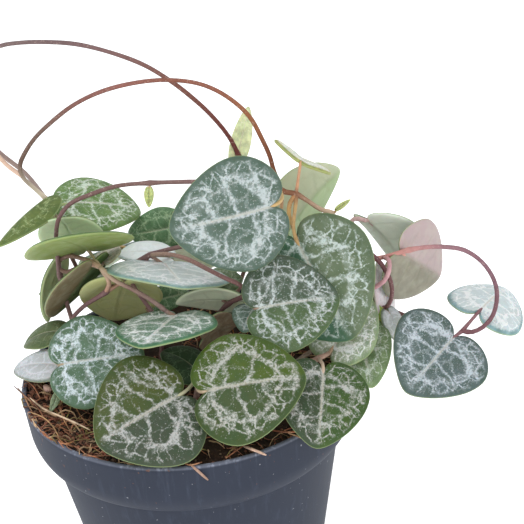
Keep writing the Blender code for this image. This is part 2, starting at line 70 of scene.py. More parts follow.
# The soil, with its lumps as (height, size), and what lies loose on it.
SOIL_LEVEL = POT_HEIGHT - 1.8
SOIL_MOUND = 1.6
MOUND_ANGLE = math.radians(203)
SOIL_LUMPS = [(0.55, 5.5), (0.35, 1.9), (0.2, 0.8)]
SOIL_GAP = 0.35
SOIL_SIDES = 180
SOIL_RINGS = 64
SOIL_SHADE = "#3a2a22"
FIBRE_COUNT = 680
FIBRE_RADIUS = 0.12
FIBRE_STEPS = 9
FIBRE_SHADES = "#b0705a #945644 #dcb890 #5c3426 #a8985c #b87c5c"
CLEAR_OF_RIM = 0.3
CRUMB_COUNT = 1500
CRUMB_SIDES = 6
CRUMB_SHADES = "#86503e #1b1411 #3c261e #a86a54 #120d0b"

# The stems and leaves. Curves and rings of the blade are in leaf lengths, half widths and shares of the
# way from its heart to its margin.
STEM_RADIUS = 0.45
STEM_STEP = 1.1
STEM_SIDES = 10
STEM_UNEVEN = 0.06
STEM_UNEVEN_SIZE = 6.0
JOINT_SWELL = 0.42
JOINT_LENGTH = 1.1
ROOT_DEPTH = 6.5
ROOT_STUB = 2.5
STALK_RADIUS = 0.41
STALK_SINK = 1.8
STALK_PULL = 0.38
STALK_RINGS = 14
BLADE_THICKNESS = 0.9
BLADE_HEART = 0.36
FULL_LENGTH = 14.0
CREASE = 0.1
EDGE_ROUND = 0.12
LOBE_CURVE = [(0.0, 0.0), (-0.34, 0.18), (-0.02, 1.03), (0.29, 1.0)]
SIDE_CURVE = [(0.29, 1.0), (0.60, 0.97), (0.93, 0.40), (1.0, 0.0)]
CURVE_SPOKES = 15
TIP_ZONE = (0.75, 0.95)
TIP_ROUNDING = 5
BLADE_RINGS = (0.12, 0.26, 0.4, 0.53, 0.65, 0.76, 0.85, 0.91, 0.955, 0.985, 0.998)
CRINKLE = 0.16
CRINKLE_SIZE = 4.5
MARGIN_WAVE = 0.16
MARGIN_WAVE_SIZE = 7.0

# The marbling. A width is in leaf lengths, but a vein's is in steps from vein to vein, and the ring's
# place and width are shares of the way from the heart of the blade to its margin. A scale is cells or
# lumps to a leaf length.
MIDRIB_WIDTH = 0.045
MIDRIB_CORE = 0.022
VEIN_STEP = 0.24
VEIN_WIDTH = 0.15
RING_SHARE = 0.64
RING_WIDTH = 0.075
CELL_SCALE = 5.0
ARM_SCALE = 3.8
TWIG_SCALE = 9.0
FRAY_SCALE = 20.0
GRAIN_SCALE = 52.0

# The line of sight that the front of the plant is laid out along, and the camera. Places in the view are
# steps of VIEW_STEP across and down from its top left corner, as they are seen at the rim's distance.
SIGHT_SLOPE = math.radians(30.0)
SIGHT_LEAN = math.radians(6.0)
SIGHT_DISTANCE = 480.0
VIEW_STEP = 0.2
VIEW_SIZE = 524
VIEW_MIDDLE = (262.0, 262.0)
RIM_IN_VIEW = (189.0, 371.0)
SENSOR = 36.0

# The studio: its floor, and its lamps as (name, place, size, power).
FLOOR_SIZE = 6000.0
LAMPS = [("key", (-180.0, -260.0, 620.0), 420.0, 1.15), ("fill", (200.0, -560.0, 200.0), 500.0, 0.7)]
LAMP_TARGET = np.array([10.0, 0.0, 75.0])

RIM_MIDDLE = np.array([0.0, 0.0, POT_HEIGHT])
ASIDE = np.array([1.0, 0.0, 0.0])
ALOFT = np.array([0.0, math.sin(SIGHT_SLOPE), math.cos(SIGHT_SLOPE)])
TOWARDS = np.array([0.0, -math.cos(SIGHT_SLOPE), math.sin(SIGHT_SLOPE)])
RIGHT = ASIDE * math.cos(SIGHT_LEAN) - ALOFT * math.sin(SIGHT_LEAN)
UP = ASIDE * math.sin(SIGHT_LEAN) + ALOFT * math.cos(SIGHT_LEAN)
SIGHT_MIDDLE = (
    RIM_MIDDLE
    + RIGHT * (VIEW_MIDDLE[0] - RIM_IN_VIEW[0]) * VIEW_STEP
    + UP * (RIM_IN_VIEW[1] - VIEW_MIDDLE[1]) * VIEW_STEP
)
EYE = SIGHT_MIDDLE + TOWARDS * SIGHT_DISTANCE


def seen(across, down, near):
    """A place in the view, near millimetres this side of the rim's middle."""
    spread = VIEW_STEP * (1 - near / SIGHT_DISTANCE)
    right = RIGHT * (across - VIEW_MIDDLE[0]) * spread
    up = UP * (VIEW_MIDDLE[1] - down) * spread
    return SIGHT_MIDDLE + right + up + TOWARDS * near


def seen_at(across, down, height):
    """A place in the view at a height above the rim, where the line of sight meets that level. If that is
    out past the rim, the place is where the line meets a cylinder just clear of it, if it does."""
    ray = seen(across, down, 0) - EYE
    place = EYE + ray * (POT_HEIGHT + height - EYE[2]) / ray[2]
    reach = RIM_RADIUS + CLEAR_OF_RIM
    a, b = ray[:2] @ ray[:2], 2 * EYE[:2] @ ray[:2]
    inside = b**2 - 4 * a * (EYE[:2] @ EYE[:2] - reach**2)
    if np.hypot(*place[:2]) > reach and inside > 0:
        place = EYE + ray * (-b - math.sqrt(inside)) / (2 * a)
    return place


def above_rim(x, y, height):
    """A place given by x and y from the pot's middle and its height above the rim."""
    return np.array([x, y, POT_HEIGHT + height])


Look = namedtuple("Look", "green silver frost under stalk", defaults=("#8f9f68", "#a28875"))
Leaf = namedtuple("Leaf", "at notch tip lobe look fold droop curl", defaults=(1.3, 1.5, 1.0))
Vine = namedtuple("Vine", "roots strands leaves frame", defaults=(seen,))
Blade = namedtuple("Blade", "notch along across out length half")

# How a leaf looks: the green of its upper face, the silver of its marbling and how much of it there is,
# its underside and its stalk. Two colours are those of the left and the right half, as one looks from
# above along the midrib to the tip.
LOOKS = {
    "teal": Look("#56685d", "#c8d0d0", 1.13, "#a3b08e", "#cead78"),
    "slate": Look("#566563", "#d0d8de", 1.14, "#a5ae98", "#8a6568"),
    "frost_slate": Look("#8cacb0", "#fbfcfa", 1.76, "#a5ae98", "#8a6568"),
    "bright_teal": Look("#577159", "#e2ebf2", 1, "#9cab80", "#b09b81"),
    "bright_silver": Look("#4c7858", "#ffffff", 1.28, "#9cab80", "#a78878"),
    "frosted": Look("#8ca9a6", "#f9f9f9", 1.7, "#a3b08e", "#a28778"),
    "grey_green": Look("#6c8276", "#dbe3e3", 1.05, "#a3b08e", "#a28778"),
    "sage_plain": Look("#88987a", "#b9c3ad", 0.8, "#a3b08e", "#a28778"),
    "whitish": Look("#92998f", "#e0e1e8", 1.8, "#b5bba8", "#b7a08e"),
    "pale_top": Look("#dcebe8", "#f5f9f9", 2, "#b5bba8", "#b7a08e"),
    "olive_silver": Look("#637156 #416850", "#ccd6d1", 0.96, "#8f9272", "#c4a06f"),
    "moss": Look("#4e5a4b #546744", "#d2d8d7", 0.98),
    "warm_moss": Look("#3f4837 #465020", "#c3c2bf", 0.92, "#8f9f68", "#b8b494"),
    "marbled": Look("#485b1a #3d4d24", "#c6c5bf", 0.92, "#8f9f68", "#bda88b"),
    "ladder": Look("#3d541f #3a4630", "#c3c2bd", 0.96, "#8f9f68", "#c4ad97"),
    "ringed": Look("#8c9d77", "#f9f9f9", 1.25, "#8f9f68", "#b79b80"),
    "olive_dark": Look("#7c9166", "#d8dfd4", 0.95),
    "dull_olive": Look("#5b6840", "#8f9a78", 0.4),
    # A leaf set deep among the others: darker green and dim silver, painted shade of the shadow it lies in.
    "painted_shade": Look("#3a5036", "#70886a", 0.7, "#7f8f60"),
    "deep": Look("#688a63", "#aec6a0", 0.95, "#86986a"),
    "spring": Look("#6f8d4e", "#e4ecde", 1, "#9bb06c", "#acba82"),
    "fern": Look("#69793d", "#a8b882", 0.75, "#8a9b5e", "#d2c0a8"),
    "pale_under": Look("#64803f", "#b9c9a8", 0.7, "#e2f3c8", "#bdad8e"),
    "sage_under": Look("#5d7446", "#c3ccb8", 0.8, "#b1c794 #bcc2a2", "#d7ab84"),
    "fresh_under": Look("#5d7a3e", "#bfcaae", 0.8, "#889955", "#ccba9c"),
    "dull_under": Look("#5b6f48", "#bfcaae", 0.8, "#b4bf90", "#ae9b85"),
    "olive_under": Look("#55683e", "#b9c2ac", 0.8, "#c4c88a", "#cba08b"),
    "brown_under": Look("#5c6b45", "#b5bba5", 0.8, "#7c7055 #4e6834", "#b79b87"),
    "small_pink": Look("#b5b09a", "#ded5cc", 1.2, "#b7a08c", "#b79b87"),
    "grey_under": Look("#55683e", "#b9c2ac", 0.8, "#dde5c8", "#9f796d"),
    "rust_under": Look("#4f5f3a", "#9aa58c", 0.8, "#7d6a56", "#9f7965"),
    "rose_under": Look("#60735a", "#c5cdbc", 0.8, "#888373 #b6a2a1", "#d09388"),
    "mint_under": Look("#60735a", "#c5cdbc", 0.8, "#f0f9ea", "#dab3ae"),
    "young_edge": Look("#a9ab62", "#fbfbf8", 1.6, "#a9a85c", "#d7a380"),
    "lance": Look("#f2f8c2", "#f5f9d6", 0.3, "#f5f9cc", "#d2bc90"),
    "lime": Look("#a9bf55", "#d0dc92", 0.3, "#a9bf55", "#b3ad70"),
    "shoot": Look("#93a583", "#c5d0ae", 0.5, "#98ac7c", "#aab78e"),
    "rose_grey": Look("#e4d4d8", "#f4eef2", 1.5, "#c9b6ba", "#c9a8a0"),
    "bud": Look("#cfd98c", "#e2e8b8", 0.2, "#cdb888", "#caa882"),
}

# Each vine rises from its roots at (x, y) in the soil, one for each of its first strands. A strand is the
# colours of its bark from start to end, and then its points: places in the vine's frame, or the (strand,
# point) of an earlier strand that it joins. A leaf's stalk leaves the (strand, point) that it names. Its
# notch and tip are the ends of the midrib, and its lobe is the widest place of the half on the left, as
# one looks from above along the midrib.
VINES = {
    "arches": Vine(roots=[(-14, 13)], strands=[
        ("#724f49 #724f49 #82685d #e5d6bf #6b564b #786258 #845c54 #926158 #8c5b4c #945f4e #9a6444 #7c4b37 "
         "#8a5f48 #dac0a6", (100, 310, -10), (78, 270, -8), (60, 232, -5), (52, 210, -2), (46, 199, 0),
         (34, 188, 1.5), (22, 176, 3), (20, 165, 4), (26, 151, 5), (35, 138, 6.5), (47, 126, 8),
         (72, 106, 10), (100, 92, 11), (134, 83, 12), (167, 80, 12), (200, 84, 11), (226, 96, 10),
         (249, 116, 9), (262, 139, 9), (270, 157, 9.5), (275, 176, 10), (281, 190, 10.5), (296, 194, 10),
         (308, 201, 9.5), (320, 209, 9), (334, 213, 8)),
        ("#a6938c #98837c #826967 #7c6967 #755f5f #81625f #80564b #6e3c36 #5c312e #502c2b",
         (0, 4), (26, 174, -1), (0, 153, 0), (-14, 138, 1), (-24, 118, 2), (-28, 95, 3), (-24, 72, 4),
         (-14, 54, 5), (0, 46, 6), (17, 43, 6), (42, 42, 6), (75, 44, 6), (109, 52, 7), (144, 65, 7.5),
         (172, 82, 7.5), (189, 95, 7), (210, 114, 6), (229, 137, 5), (239, 157, 4), (244, 176, 2),
         (238, 196, 0), (218, 208, -2), (196, 216, -4)),
        ("#ddbca7 #cead97", (0, 6), (8, 166, 3), (-5, 152, 2.5), (1, 3)),
        ("#b1805f #cea66b #caa975", (0, 22), (290, 203, 10.5), (289, 215, 10), (293, 228, 9.5)),
    ], leaves=[
        Leaf((0, 20), (271, 206, 23), (166, 231, 26), (235, 274, 22), "teal", 1.8, 1.4, 1.2),
        Leaf((0, 21), (288, 227, 0.5), (341, 167.5, -4), (325, 227, -8), "sage_under", 2.9, 0.9, 0.7),
        Leaf((0, 22), (300.5, 162, 13), (300, 159, 4), (272, 144, 11), "young_edge", 1.7, 0.9, 0.3),
        Leaf((0, 22), (297, 241, 12.8), (354, 342, 14), (375.5, 250, 15), "olive_silver", 1.2, 1.5, 1.8),
        Leaf((0, 25), (337, 209, 9), (351, 199, 10), (342.5, 201.5, 9.5), "bud", 0.3, 0.2, 0.1),
        Leaf((0, 4), (46, 200, 1), (-3, 249, 7), (34, 218, 8), "fern", -2.4, 0.6, 0.6),
        Leaf((0, 3), (65, 205, -6), (143, 213, -9), (89, 180, -15), "spring"),
        Leaf((0, 3), (75, 245, 0), (60, 217, 9), (103, 233, 4), "pale_under"),
        Leaf((1, 18), (236, 160, 3), (249, 105, 2), (230.5, 138, 3), "lance", 0.6, 0.2, 0.3),
        Leaf((1, 22), (178, 225, -9), (127, 234, -11.5), (160, 250, -11.5), "deep"),
    ]),
    "weave": Vine(roots=[(-19, 6), (-5, 4)], strands=[
        ("#826762 #886a6a #7e6161 #755a58 #8d7168", (74, 345, -1), (72, 320, 2), (83, 307, 3), (95, 299, 5),
         (106, 292, 6), (117, 281, 3.5), (132, 265, 2.5), (150, 255, 3.5), (175, 248, 4), (205, 243, 5)),
        ("#826161 #8b6b6a #826762", (161, 358, -2), (162, 345, -1), (158, 325, 1), (152, 312, 4),
         (142, 298, 5), (133, 285, 5), (134, 274, 1), (0, 7)),
        ("#c69782 #cdb49a", (0, 4), (109, 282, 8), (100, 267, 9)),
        ("#cdb49a #8e7369 #947c76", (2, 2), (114, 280, 12), (134, 290, 13), (154, 302, 13), (166, 311, 13)),
        ("#9c8575 #94746a #8a6762 #7e5b5a", (0, 7), (167, 254, 6), (187, 259, 9), (209, 270, 13),
         (225, 278, 16.2), (240, 285, 16.2), (250, 296, 15.2)),
        ("#826762 #886a6a #7b5e5c #81645f #896b67 #927676", (0, 1), (66, 300, 0), (60, 275, 1),
         (57, 252, 4), (56, 237, 8.6), (59, 218, 10.6), (70, 204, 10), (92, 194, 9), (117, 186, 8),
         (150, 183, 8), (178, 182, 8), (200, 182, 9), (222, 186, 10), (240, 196, 10)),
        ("#aa9075 #8d7162 #82675b #97776a", (2, 2), (92, 262, 8), (80, 258, 5), (68, 256, 3), (59, 261, 2),
         (60, 269, 1.5), (68, 272, 2.5), (75, 268, 4)),
    ], leaves=[
        Leaf((0, 4), (124, 282, 5), (114, 322, -9), (78.5, 295, 1), "olive_under", 0.8, 1.5, 0.4),
        Leaf((2, 2), (86.5, 249, 4), (59.5, 238.5, 21), (133, 235, 11), "fresh_under", 0.9, 1.6, 0.6),
        Leaf((2, 2), (90, 265.5, 7), (52, 318, -3), (54, 292, 10.5), "brown_under", 1, 0.5, 0),
        Leaf((2, 2), (104, 263, 3), (113, 247, -1), (98, 252, -3), "small_pink", 0.6, 0.4, 0.3),
        Leaf((3, 4), (176, 316, 12), (141, 349, 28), (221.5, 319.3, 17), "bright_silver", 1.5, 1.9, 0.1),
        Leaf((4, 6), (257, 309, 19.5), (341.5, 297, 17), (269, 258, 15.5), "moss", 1.7, 0.7, 0.5),
        Leaf((0, 7), (164, 265, 3), (184, 289, 20), (234, 279, 7), "frosted", 0.8, 1.6, 0),
        Leaf((0, 7), (168, 257, -3), (116, 256, -4), (146, 270, 0), "pale_top"),
        Leaf((5, 9), (149, 189, 8), (149, 208, 8), (154, 198, 8), "bud", 0.3, 0.2, 0.1),
        Leaf((5, 13), (238, 212, 8), (205, 240, 12), (250, 245, 14), "grey_green"),
        Leaf((5, 2), (60, 263, -3), (48, 324, -6.5), (45, 285, -1.5), "dull_under"),
        Leaf((1, 2), (148, 303, -6), (190, 292, -13), (156, 287, -8), "deep"),
    ]),
    "middle": Vine(roots=[(3, 2)], strands=[
        ("#7e5b5a #6a4e4c #755553", (208, 345, 0), (216, 318, 4), (228, 304, 7), (242, 297, 9),
         (256, 290, 9), (268, 280, 9)),
    ], leaves=[
        Leaf((0, 3), (238, 301, 6.4), (174, 304.5, 4.4), (215, 290.5, 10.2), "grey_under"),
        Leaf((0, 1), (204, 337, 9.6), (240, 322, 6.4), (231, 341, 3.4), "rust_under"),
        Leaf((0, 4), (256, 308, 8.5), (243, 334, 11.4), (268, 326, 11.6), "grey_green"),
        Leaf((0, 2), (208, 288, 0), (244, 279, -0.5), (214, 270, -2), "sage_plain"),
    ]),
    "front": Vine(roots=[(1, -12)], strands=[
        ("#9a7c75 #b8a090", (197, 394, 14), (197, 380, 18)),
    ], leaves=[
        Leaf((0, 1), (179, 396, 25), (95.5, 447, 29), (168, 475, 31), "warm_moss", 1, 1.8, 1.1),
        Leaf((0, 1), (207, 392, 27.5), (309, 377, 28), (234, 332, 23), "marbled", 0.7, 2.4, 1.1),
        # This leaf's look is painted shade: darker green and dimmed marbling for the shadow it lies in.
        Leaf((0, 0), (199, 374, 7), (160, 352, 5), (167, 377, 10), "painted_shade"),
    ]),
    "front_right": Vine(roots=[(12, -10)], strands=[
        ("#a58578 #b18d82 #a78a75", (275, 382, 12), (300, 367, 15), (319, 358, 16), (328, 354, 13)),
    ], leaves=[
        Leaf((0, 2), (323, 371, 22), (316, 451, 27), (370, 379, 21), "ladder", 1.8, 0.9, 1.2),
        Leaf((0, 3), (331, 351, 10), (369, 294, 4.5), (314, 314, 5.8), "ringed"),
    ]),
    "right": Vine(roots=[(18, 2)], strands=[
        ("#85686a #8f6e6f #c9938c #d0968e #987279 #85626c #78565c #7c565a",
         (300, 330, -2), (330, 295, 0), (355, 272, 2), (372, 260, 4), (384, 257, 5), (398, 253, 6),
         (409, 250, 7), (428, 247, 8), (446, 247, 8), (464, 250, 8), (482, 262, 7), (494, 280, 6),
         (497, 296, 5), (493, 315, 5), (483, 327, 5), (472, 332, 5), (462, 331, 5)),
        ("#98776a #b8928c #d6b4b1", (0, 1), (338, 262, -1), (345, 236, 0), (354, 219, 1), (364, 220, 1.5)),
        ("#ce9293 #cea0a5 #c08d93", (0, 4), (389, 261, 8.6), (389, 271, 10.4), (384, 281, 10.4),
         (370, 290, 9)),
    ], leaves=[
        Leaf((0, 6), (402, 253.5, 5), (440.5, 277.5, -9), (390, 298, 2), "rose_under", 1.6, 0.7, -0.2),
        Leaf((1, 4), (370, 222, -1), (409, 282, -7), (376, 271, -12), "mint_under", 2.4, -0.4, 1.5),
        Leaf((0, 16), (453, 338, 5), (404.5, 394, 13.5), (478.5, 389, 9), "slate", 2.4, 0.5, 0.4),
        Leaf((0, 16), (480, 311, 3), (507, 290, -11), (452, 286, -2.4), "frost_slate", -1, 1.8),
    ]),
    "right_low": Vine(roots=[(20, -4)], strands=[
        ("#988578 #b1a093 #7a5657 #745253", (320, 345, 3), (350, 322, 2), (372, 312, 2), (386, 308, 2),
         (396, 312, 2), (408, 317, 1)),
        ("#7a5657 #745253 #80565a", (0, 3), (391, 299, 5.4), (392, 288, 7.1), (389, 277, 7.9),
         (384, 268, 7.2), (377, 259, 6.8), (367, 251, 7)),
    ], leaves=[
        Leaf((0, 2), (357, 326, 2.5), (373, 390, 10.5), (395, 352, 6.5), "olive_dark"),
        Leaf((0, 3), (376.5, 307, 3), (381, 330, 1), (384, 317, 2), "lime", 0.4, 0.2, 0.1),
        Leaf((0, 3), (383, 309, 1), (377, 259, -6), (371.5, 284, 3), "rose_grey"),
        Leaf((0, 3), (388, 312, 3), (397, 342, 1), (401, 320, 1), "whitish"),
    ]),
    "left": Vine(roots=[(-22, -4)], strands=[
        ("#9a7c75 #aa8d75 #9a7c75", (66, 385, 6), (61, 368, 7), (60, 350, 5), (64, 336, 3)),
    ], leaves=[
        Leaf((0, 1), (61, 365, 11), (147, 354.5, 12.4), (81, 315.5, 8.4), "bright_teal", 1.1, 1.7, 0.8),
        Leaf((0, 1), (60, 366, 4), (14, 371, -3), (42, 384, 5), "whitish"),
        Leaf((0, 3), (60, 332, 0), (24, 347, -6), (43, 350, 1), "dull_olive"),
        Leaf((0, 0), (58, 394, 7), (50, 413, 9), (58, 406, 8), "shoot", 0.4, 0.3, 0.2),
    ]),
    "crown": Vine(frame=above_rim, roots=[(8, 8)], strands=[
        ("#8a6b62 #94746a", (8, 9, 8), (10, 12, 14), (11, 16, 17)),
    ], leaves=[
        Leaf((0, 2), (11, 20, 17), (11, 36, 10.5), (2, 26, 14.5), "teal"),
        Leaf((0, 1), (15, 11, 17.5), (27, 9, 13), (20, 18, 15), "moss"),
    ]),
    "back_left": Vine(frame=above_rim, roots=[(-8, 22)], strands=[
        ("#8a6b62 #7e6161", (-9, 25, 5), (-10, 29, 8), (-8, 33, 9), (-3, 36, 9), (1, 38, 7)),
    ], leaves=[
        Leaf((0, 0), (-14, 28, 7), (-31, 33, 2), (-21, 21, 8), "marbled"),
        Leaf((0, 2), (-12.5, 37, 9), (-18, 49, -3), (-22, 38, 5), "teal"),
        Leaf((0, 4), (1, 41, 7), (3, 50, -7), (-7, 45, 3), "olive_silver"),
    ]),
    "back_right": Vine(frame=above_rim, roots=[(10, 20)], strands=[
        ("#8a6b62 #7e6161", (12, 23, 6), (15, 26, 10), (20, 28, 11), (26, 26, 10), (31, 21, 8)),
    ], leaves=[
        Leaf((0, 1), (16, 31, 9.5), (16, 46, 2), (9, 37, 8), "moss"),
        Leaf((0, 2), (24, 31, 11), (35, 37, 0), (24, 40, 6), "slate"),
        Leaf((0, 4), (32, 21, 8), (42, 15, 1), (38, 26, 5), "marbled"),
    ]),
}

# Single fibres and a pale clod that lie on the soil and over the rim: a radius, a colour and the points,
# as (across, down) in the view and the height above the rim.
LOOSE_FIBRES = [
    (0.2, "#ecd0b0", (30, 398, 1.4), (44, 409, 1.8), (62, 417, 2), (78, 424, 1.6), (90, 430, 0.8)),
    (0.14, "#8f5f46", (14, 386, 1.6), (26, 397, 2), (38, 408, 1.6), (46, 422, 0.6)),
    (0.12, "#a87c54", (60, 408, 1.8), (64, 420, 1.6), (72, 434, 0.8)),
    (0.12, "#b07848", (76, 408, 1.2), (82, 418, 1), (88, 424, 0.6)),
    (0.12, "#a0643e", (44, 432, 0.4), (56, 427, 1), (70, 420, 1.2)),
    (0.27, "#dbb49e", (190, 464, 0.3), (198, 471, 0.7), (208, 480, 0.2)),
    (0.16, "#a06a48", (182, 462, 0.1), (191, 465, 0.5), (202, 462, 0.5)),
    (0.3, "#dcb8a2", (243, 446, 0.8), (254, 450, 1), (266, 455, 0.3)),
    (0.14, "#9c5c3c", (226, 458, 0.5), (246, 444, 0.8), (262, 436, 0.6)),
    (0.2, "#9c5c40", (270, 430, 0.6), (286, 432, 1.2), (304, 431, 0.8)),
    (0.2, "#b08a68", (288, 433, 0.7), (302, 438, 1.6), (318, 447, 0.8)),
    (0.16, "#b08a58", (327, 430, 1.8), (331, 434, 2.2), (333, 439, 1.8)),
    (0.14, "#8f4c34", (278, 434, 0.4), (292, 428, 1), (306, 432, 0.6)),
    (0.12, "#b0743c", (231, 320, 6), (232, 327, 4.5), (234, 335, 3)),
    (0.75, "#d8b2a4", (45, 386, 1.2), (48, 389, 1.4), (51, 391, 1)),
    (0.13, "#b98a6a", (18, 388, 1.2), (24, 396, 1.4), (30, 408, 1), (37, 420, 0.6)),
    (0.13, "#a9694a", (22, 378, 1.5), (33, 386, 2), (40, 398, 1.6)),
    (0.13, "#9c5a3c", (38, 426, 0.5), (46, 436, 0.8), (57, 442, 0.4)),
    (0.13, "#b0764c", (56, 436, 1), (66, 444, 0.8), (74, 441, 1.4)),
    (0.12, "#c79c6c", (30, 412, 1.4), (44, 418, 2), (54, 428, 1.6), (60, 440, 0.8)),
]

# The values of a skin's corners that are colours or places. The others are numbers.
VECTOR_VALUES = ("tint", "green", "silver", "under", "place")


def srgb(code):
    """The linear red, green and blue of a #rrggbb colour."""
    coded = np.array([int(code[i : i + 2], 16) for i in (1, 3, 5)]) / 255
    return np.where(coded <= 0.04045, coded / 12.92, ((coded + 0.055) / 1.055) ** 2.4)


def shades(codes):
    """One row of linear red, green and blue for each colour in a text."""
    return np.array([srgb(code) for code in codes.split()])


def unit(vector):
    """A vector over its length."""
    return vector / np.linalg.norm(vector, axis=-1, keepdims=True)


def circle(sides):
    """The cosine and sine of equal turns, one for each side."""
    angles = np.arange(sides) * 2 * math.pi / sides
    return np.cos(angles), np.sin(angles)


def smooth_step(x, low, high):
    """0 below low, 1 above high, and 3t^2 - 2t^3 between them."""
    t = np.clip((x - low) / (high - low), 0, 1)
    return t * t * (3 - 2 * t)


def ripple(places, size, seed):
    """Smooth noise from -1 to 1: a random value at each corner of a cubic lattice of this size, blended
    between the eight corners round each place."""
    lattice = np.random.default_rng(seed).uniform(-1, 1, (32, 32, 32))
    scaled = np.asarray(places) / size
    cell = np.floor(scaled).astype(int)
    t = smooth_step(scaled - cell, 0, 1)
    total = np.zeros(scaled.shape[:-1])
    for corner in np.ndindex(2, 2, 2):
        weight = np.prod(np.where(corner, t, 1 - t), axis=-1)
        total += weight * lattice[tuple(np.moveaxis((cell + corner) % 32, -1, 0))]
    return total


def bezier(points, steps):
    """Points on the cubic curve with these four control points."""
    a, b, c, d = np.array(points, dtype=float)
    t = np.asarray(steps)[:, None]
    return (1 - t) ** 3 * a + 3 * (1 - t) ** 2 * t * b + 3 * (1 - t) * t**2 * c + t**3 * d


def running(lengths):
    """The sum of the lengths up to each point, from 0."""
    return np.concatenate([[0.0], np.cumsum(lengths)])


def smooth_path(points, step):
    """Points about a step apart on the centripetal Catmull-Rom curve through the given points, and the
    place in the path of each given point."""
    points = np.array(points, dtype=float)
    ends = np.vstack([2 * points[0] - points[1], points, 2 * points[-1] - points[-2]])
    knots = running(np.sqrt(np.linalg.norm(np.diff(ends, axis=0), axis=1)))
    path = [points[:1]]
    marks = [0]
    for i in range(1, len(ends) - 2):
        count = max(1, round(np.linalg.norm(ends[i + 1] - ends[i]) / step))
        t = np.linspace(knots[i], knots[i + 1], count + 1)[1:, None]
        t0, t1, t2, t3 = knots[i - 1 : i + 3]
        p0, p1, p2, p3 = ends[i - 1 : i + 3]
        a1 = p0 + (p1 - p0) * (t - t0) / (t1 - t0)
        a2 = p1 + (p2 - p1) * (t - t1) / (t2 - t1)
        a3 = p2 + (p3 - p2) * (t - t2) / (t3 - t2)
        b1 = a1 + (a2 - a1) * (t - t0) / (t2 - t0)
        b2 = a2 + (a3 - a2) * (t - t1) / (t3 - t1)
        path.append(b1 + (b2 - b1) * (t - t1) / (t2 - t1))
        marks.append(marks[-1] + count)
    return np.vstack(path), marks


def tubes(paths, radii, sides):
    """Rings square to each of many paths of as many points, carried along them without twist: the path's
    first points, the rings, and its last points. Each ring is the path's point plus its radius times the
    cosine and sine of the angle along the two directions across."""
    tangents = unit(np.gradient(paths, axis=1))
    across = np.cross(tangents[:, 0], RIGHT + TOWARDS * 0.3)
    crosses = []
    for tangent in np.moveaxis(tangents, 1, 0):
        across = unit(across - tangent * np.sum(across * tangent, axis=-1, keepdims=True))
        crosses.append(across)
    across = np.stack(crosses, axis=1)
    over = np.cross(tangents, across)
    cosine, sine = circle(sides)
    turn = cosine[:, None] * across[:, :, None] + sine[:, None] * over[:, :, None]
    return paths[:, 0], paths[:, :, None] + radii[..., None, None] * turn, paths[:, -1]


def turned(profile, sides):
    """Rows of a shape turned about the z axis, from a profile of (radius, height) points whose first and
    last lie on the axis."""
    profile = np.asarray(profile, dtype=float)
    cosine, sine = circle(sides)
    radii, heights = profile[1:-1].T[..., None]
    rows = np.stack(np.broadcast_arrays(radii * cosine, radii * sine, heights), axis=-1)
    first, last = (np.array([[0.0, 0.0, profile[i, 1]]]) for i in (0, -1))
    return first, rows[None], last


def plain_object(name, data):
    """An object at the origin, in the scene."""
    made = bpy.data.objects.new(name, data)
    bpy.context.scene.collection.objects.link(made)
    return made


def closed_faces(row_count, columns):
    """The quads between rows of corners that go round, and the fan of triangles that closes them at
    either end. Corner 0 is the first, the rows follow, and one more corner is the last."""
    last = row_count * columns + 1
    grid = np.arange(1, last).reshape(row_count, columns)
    beside = np.roll(grid, -1, axis=1)
    quads = np.stack([grid[:-1], beside[:-1], beside[1:], grid[1:]], axis=-1).reshape(-1, 4)
    start_fan = np.stack([np.zeros(columns, int), beside[0], grid[0]], axis=-1)
    end_fan = np.stack([np.full(columns, last), grid[-1], beside[-1]], axis=-1)
    return quads, start_fan, end_fan


class Skin:
    """Closed shapes gathered into one mesh. A shape is rows of corners that go round, with one corner
    that closes it at either end."""

    def __init__(self):
        self.corners = []
        self.faces = []
        self.values = {}
        self.count = 0

    def add(self, first, rows, last, **values):
        """Adds n shapes: first and last are (n, 3) and rows is (n, rows, columns, 3). A value is spread
        over (n, corners), with the corners in the order first, rows, last, and a vector value over
        (n, corners, 3). A shape whose faces would point inwards, as its signed volume shows, has them
        turned round."""
        n, row_count, columns = rows.shape[:3]
        corners = np.concatenate([first[:, None], rows.reshape(n, -1, 3), last[:, None]], axis=1)
        size = corners.shape[1]
        quads, start_fan, end_fan = closed_faces(row_count, columns)
        triangles = np.concatenate([quads[:, :3], quads[:, [0, 2, 3]], start_fan, end_fan])
        centred = corners - corners.mean(axis=1, keepdims=True)
        a, b, c = (centred[:, triangles[:, i]] for i in range(3))
        inside_out = np.sum(a * np.cross(b, c), axis=(1, 2)) < 0
        offsets = self.count + size * np.arange(n)
        for faces in (quads, start_fan, end_fan):
            for facing, chosen in ((faces, ~inside_out), (faces[:, ::-1], inside_out)):
                placed = facing[None] + offsets[chosen][:, None, None]
                self.faces += placed.reshape(-1, faces.shape[1]).tolist()
        self.corners.append(corners.reshape(-1, 3))
        for name, value in values.items():
            shape = (n, size, 3) if name in VECTOR_VALUES else (n, size)
            self.values.setdefault(name, []).append(np.broadcast_to(value, shape).ravel())
        self.count += n * size

    def piece(self, name, finish, slot, *nodes):
        """The mesh as an object that rides on the frame, with smooth faces and its values as attributes."""
        mesh = bpy.data.meshes.new(name)
        mesh.from_pydata((np.concatenate(self.corners) * MM).tolist(), [], self.faces)
        mesh.shade_smooth()
        for value_name, parts in self.values.items():
            kind, field = ("FLOAT_VECTOR", "vector") if value_name in VECTOR_VALUES else ("FLOAT", "value")
            values = np.concatenate(parts).astype(np.float32)
            mesh.attributes.new(value_name, kind, "POINT").data.foreach_set(field, values)
        mesh.materials.append(finish)
        made = plain_object(name, mesh)
        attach(made, "root")
        if nodes:
            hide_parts(*nodes)
        return made


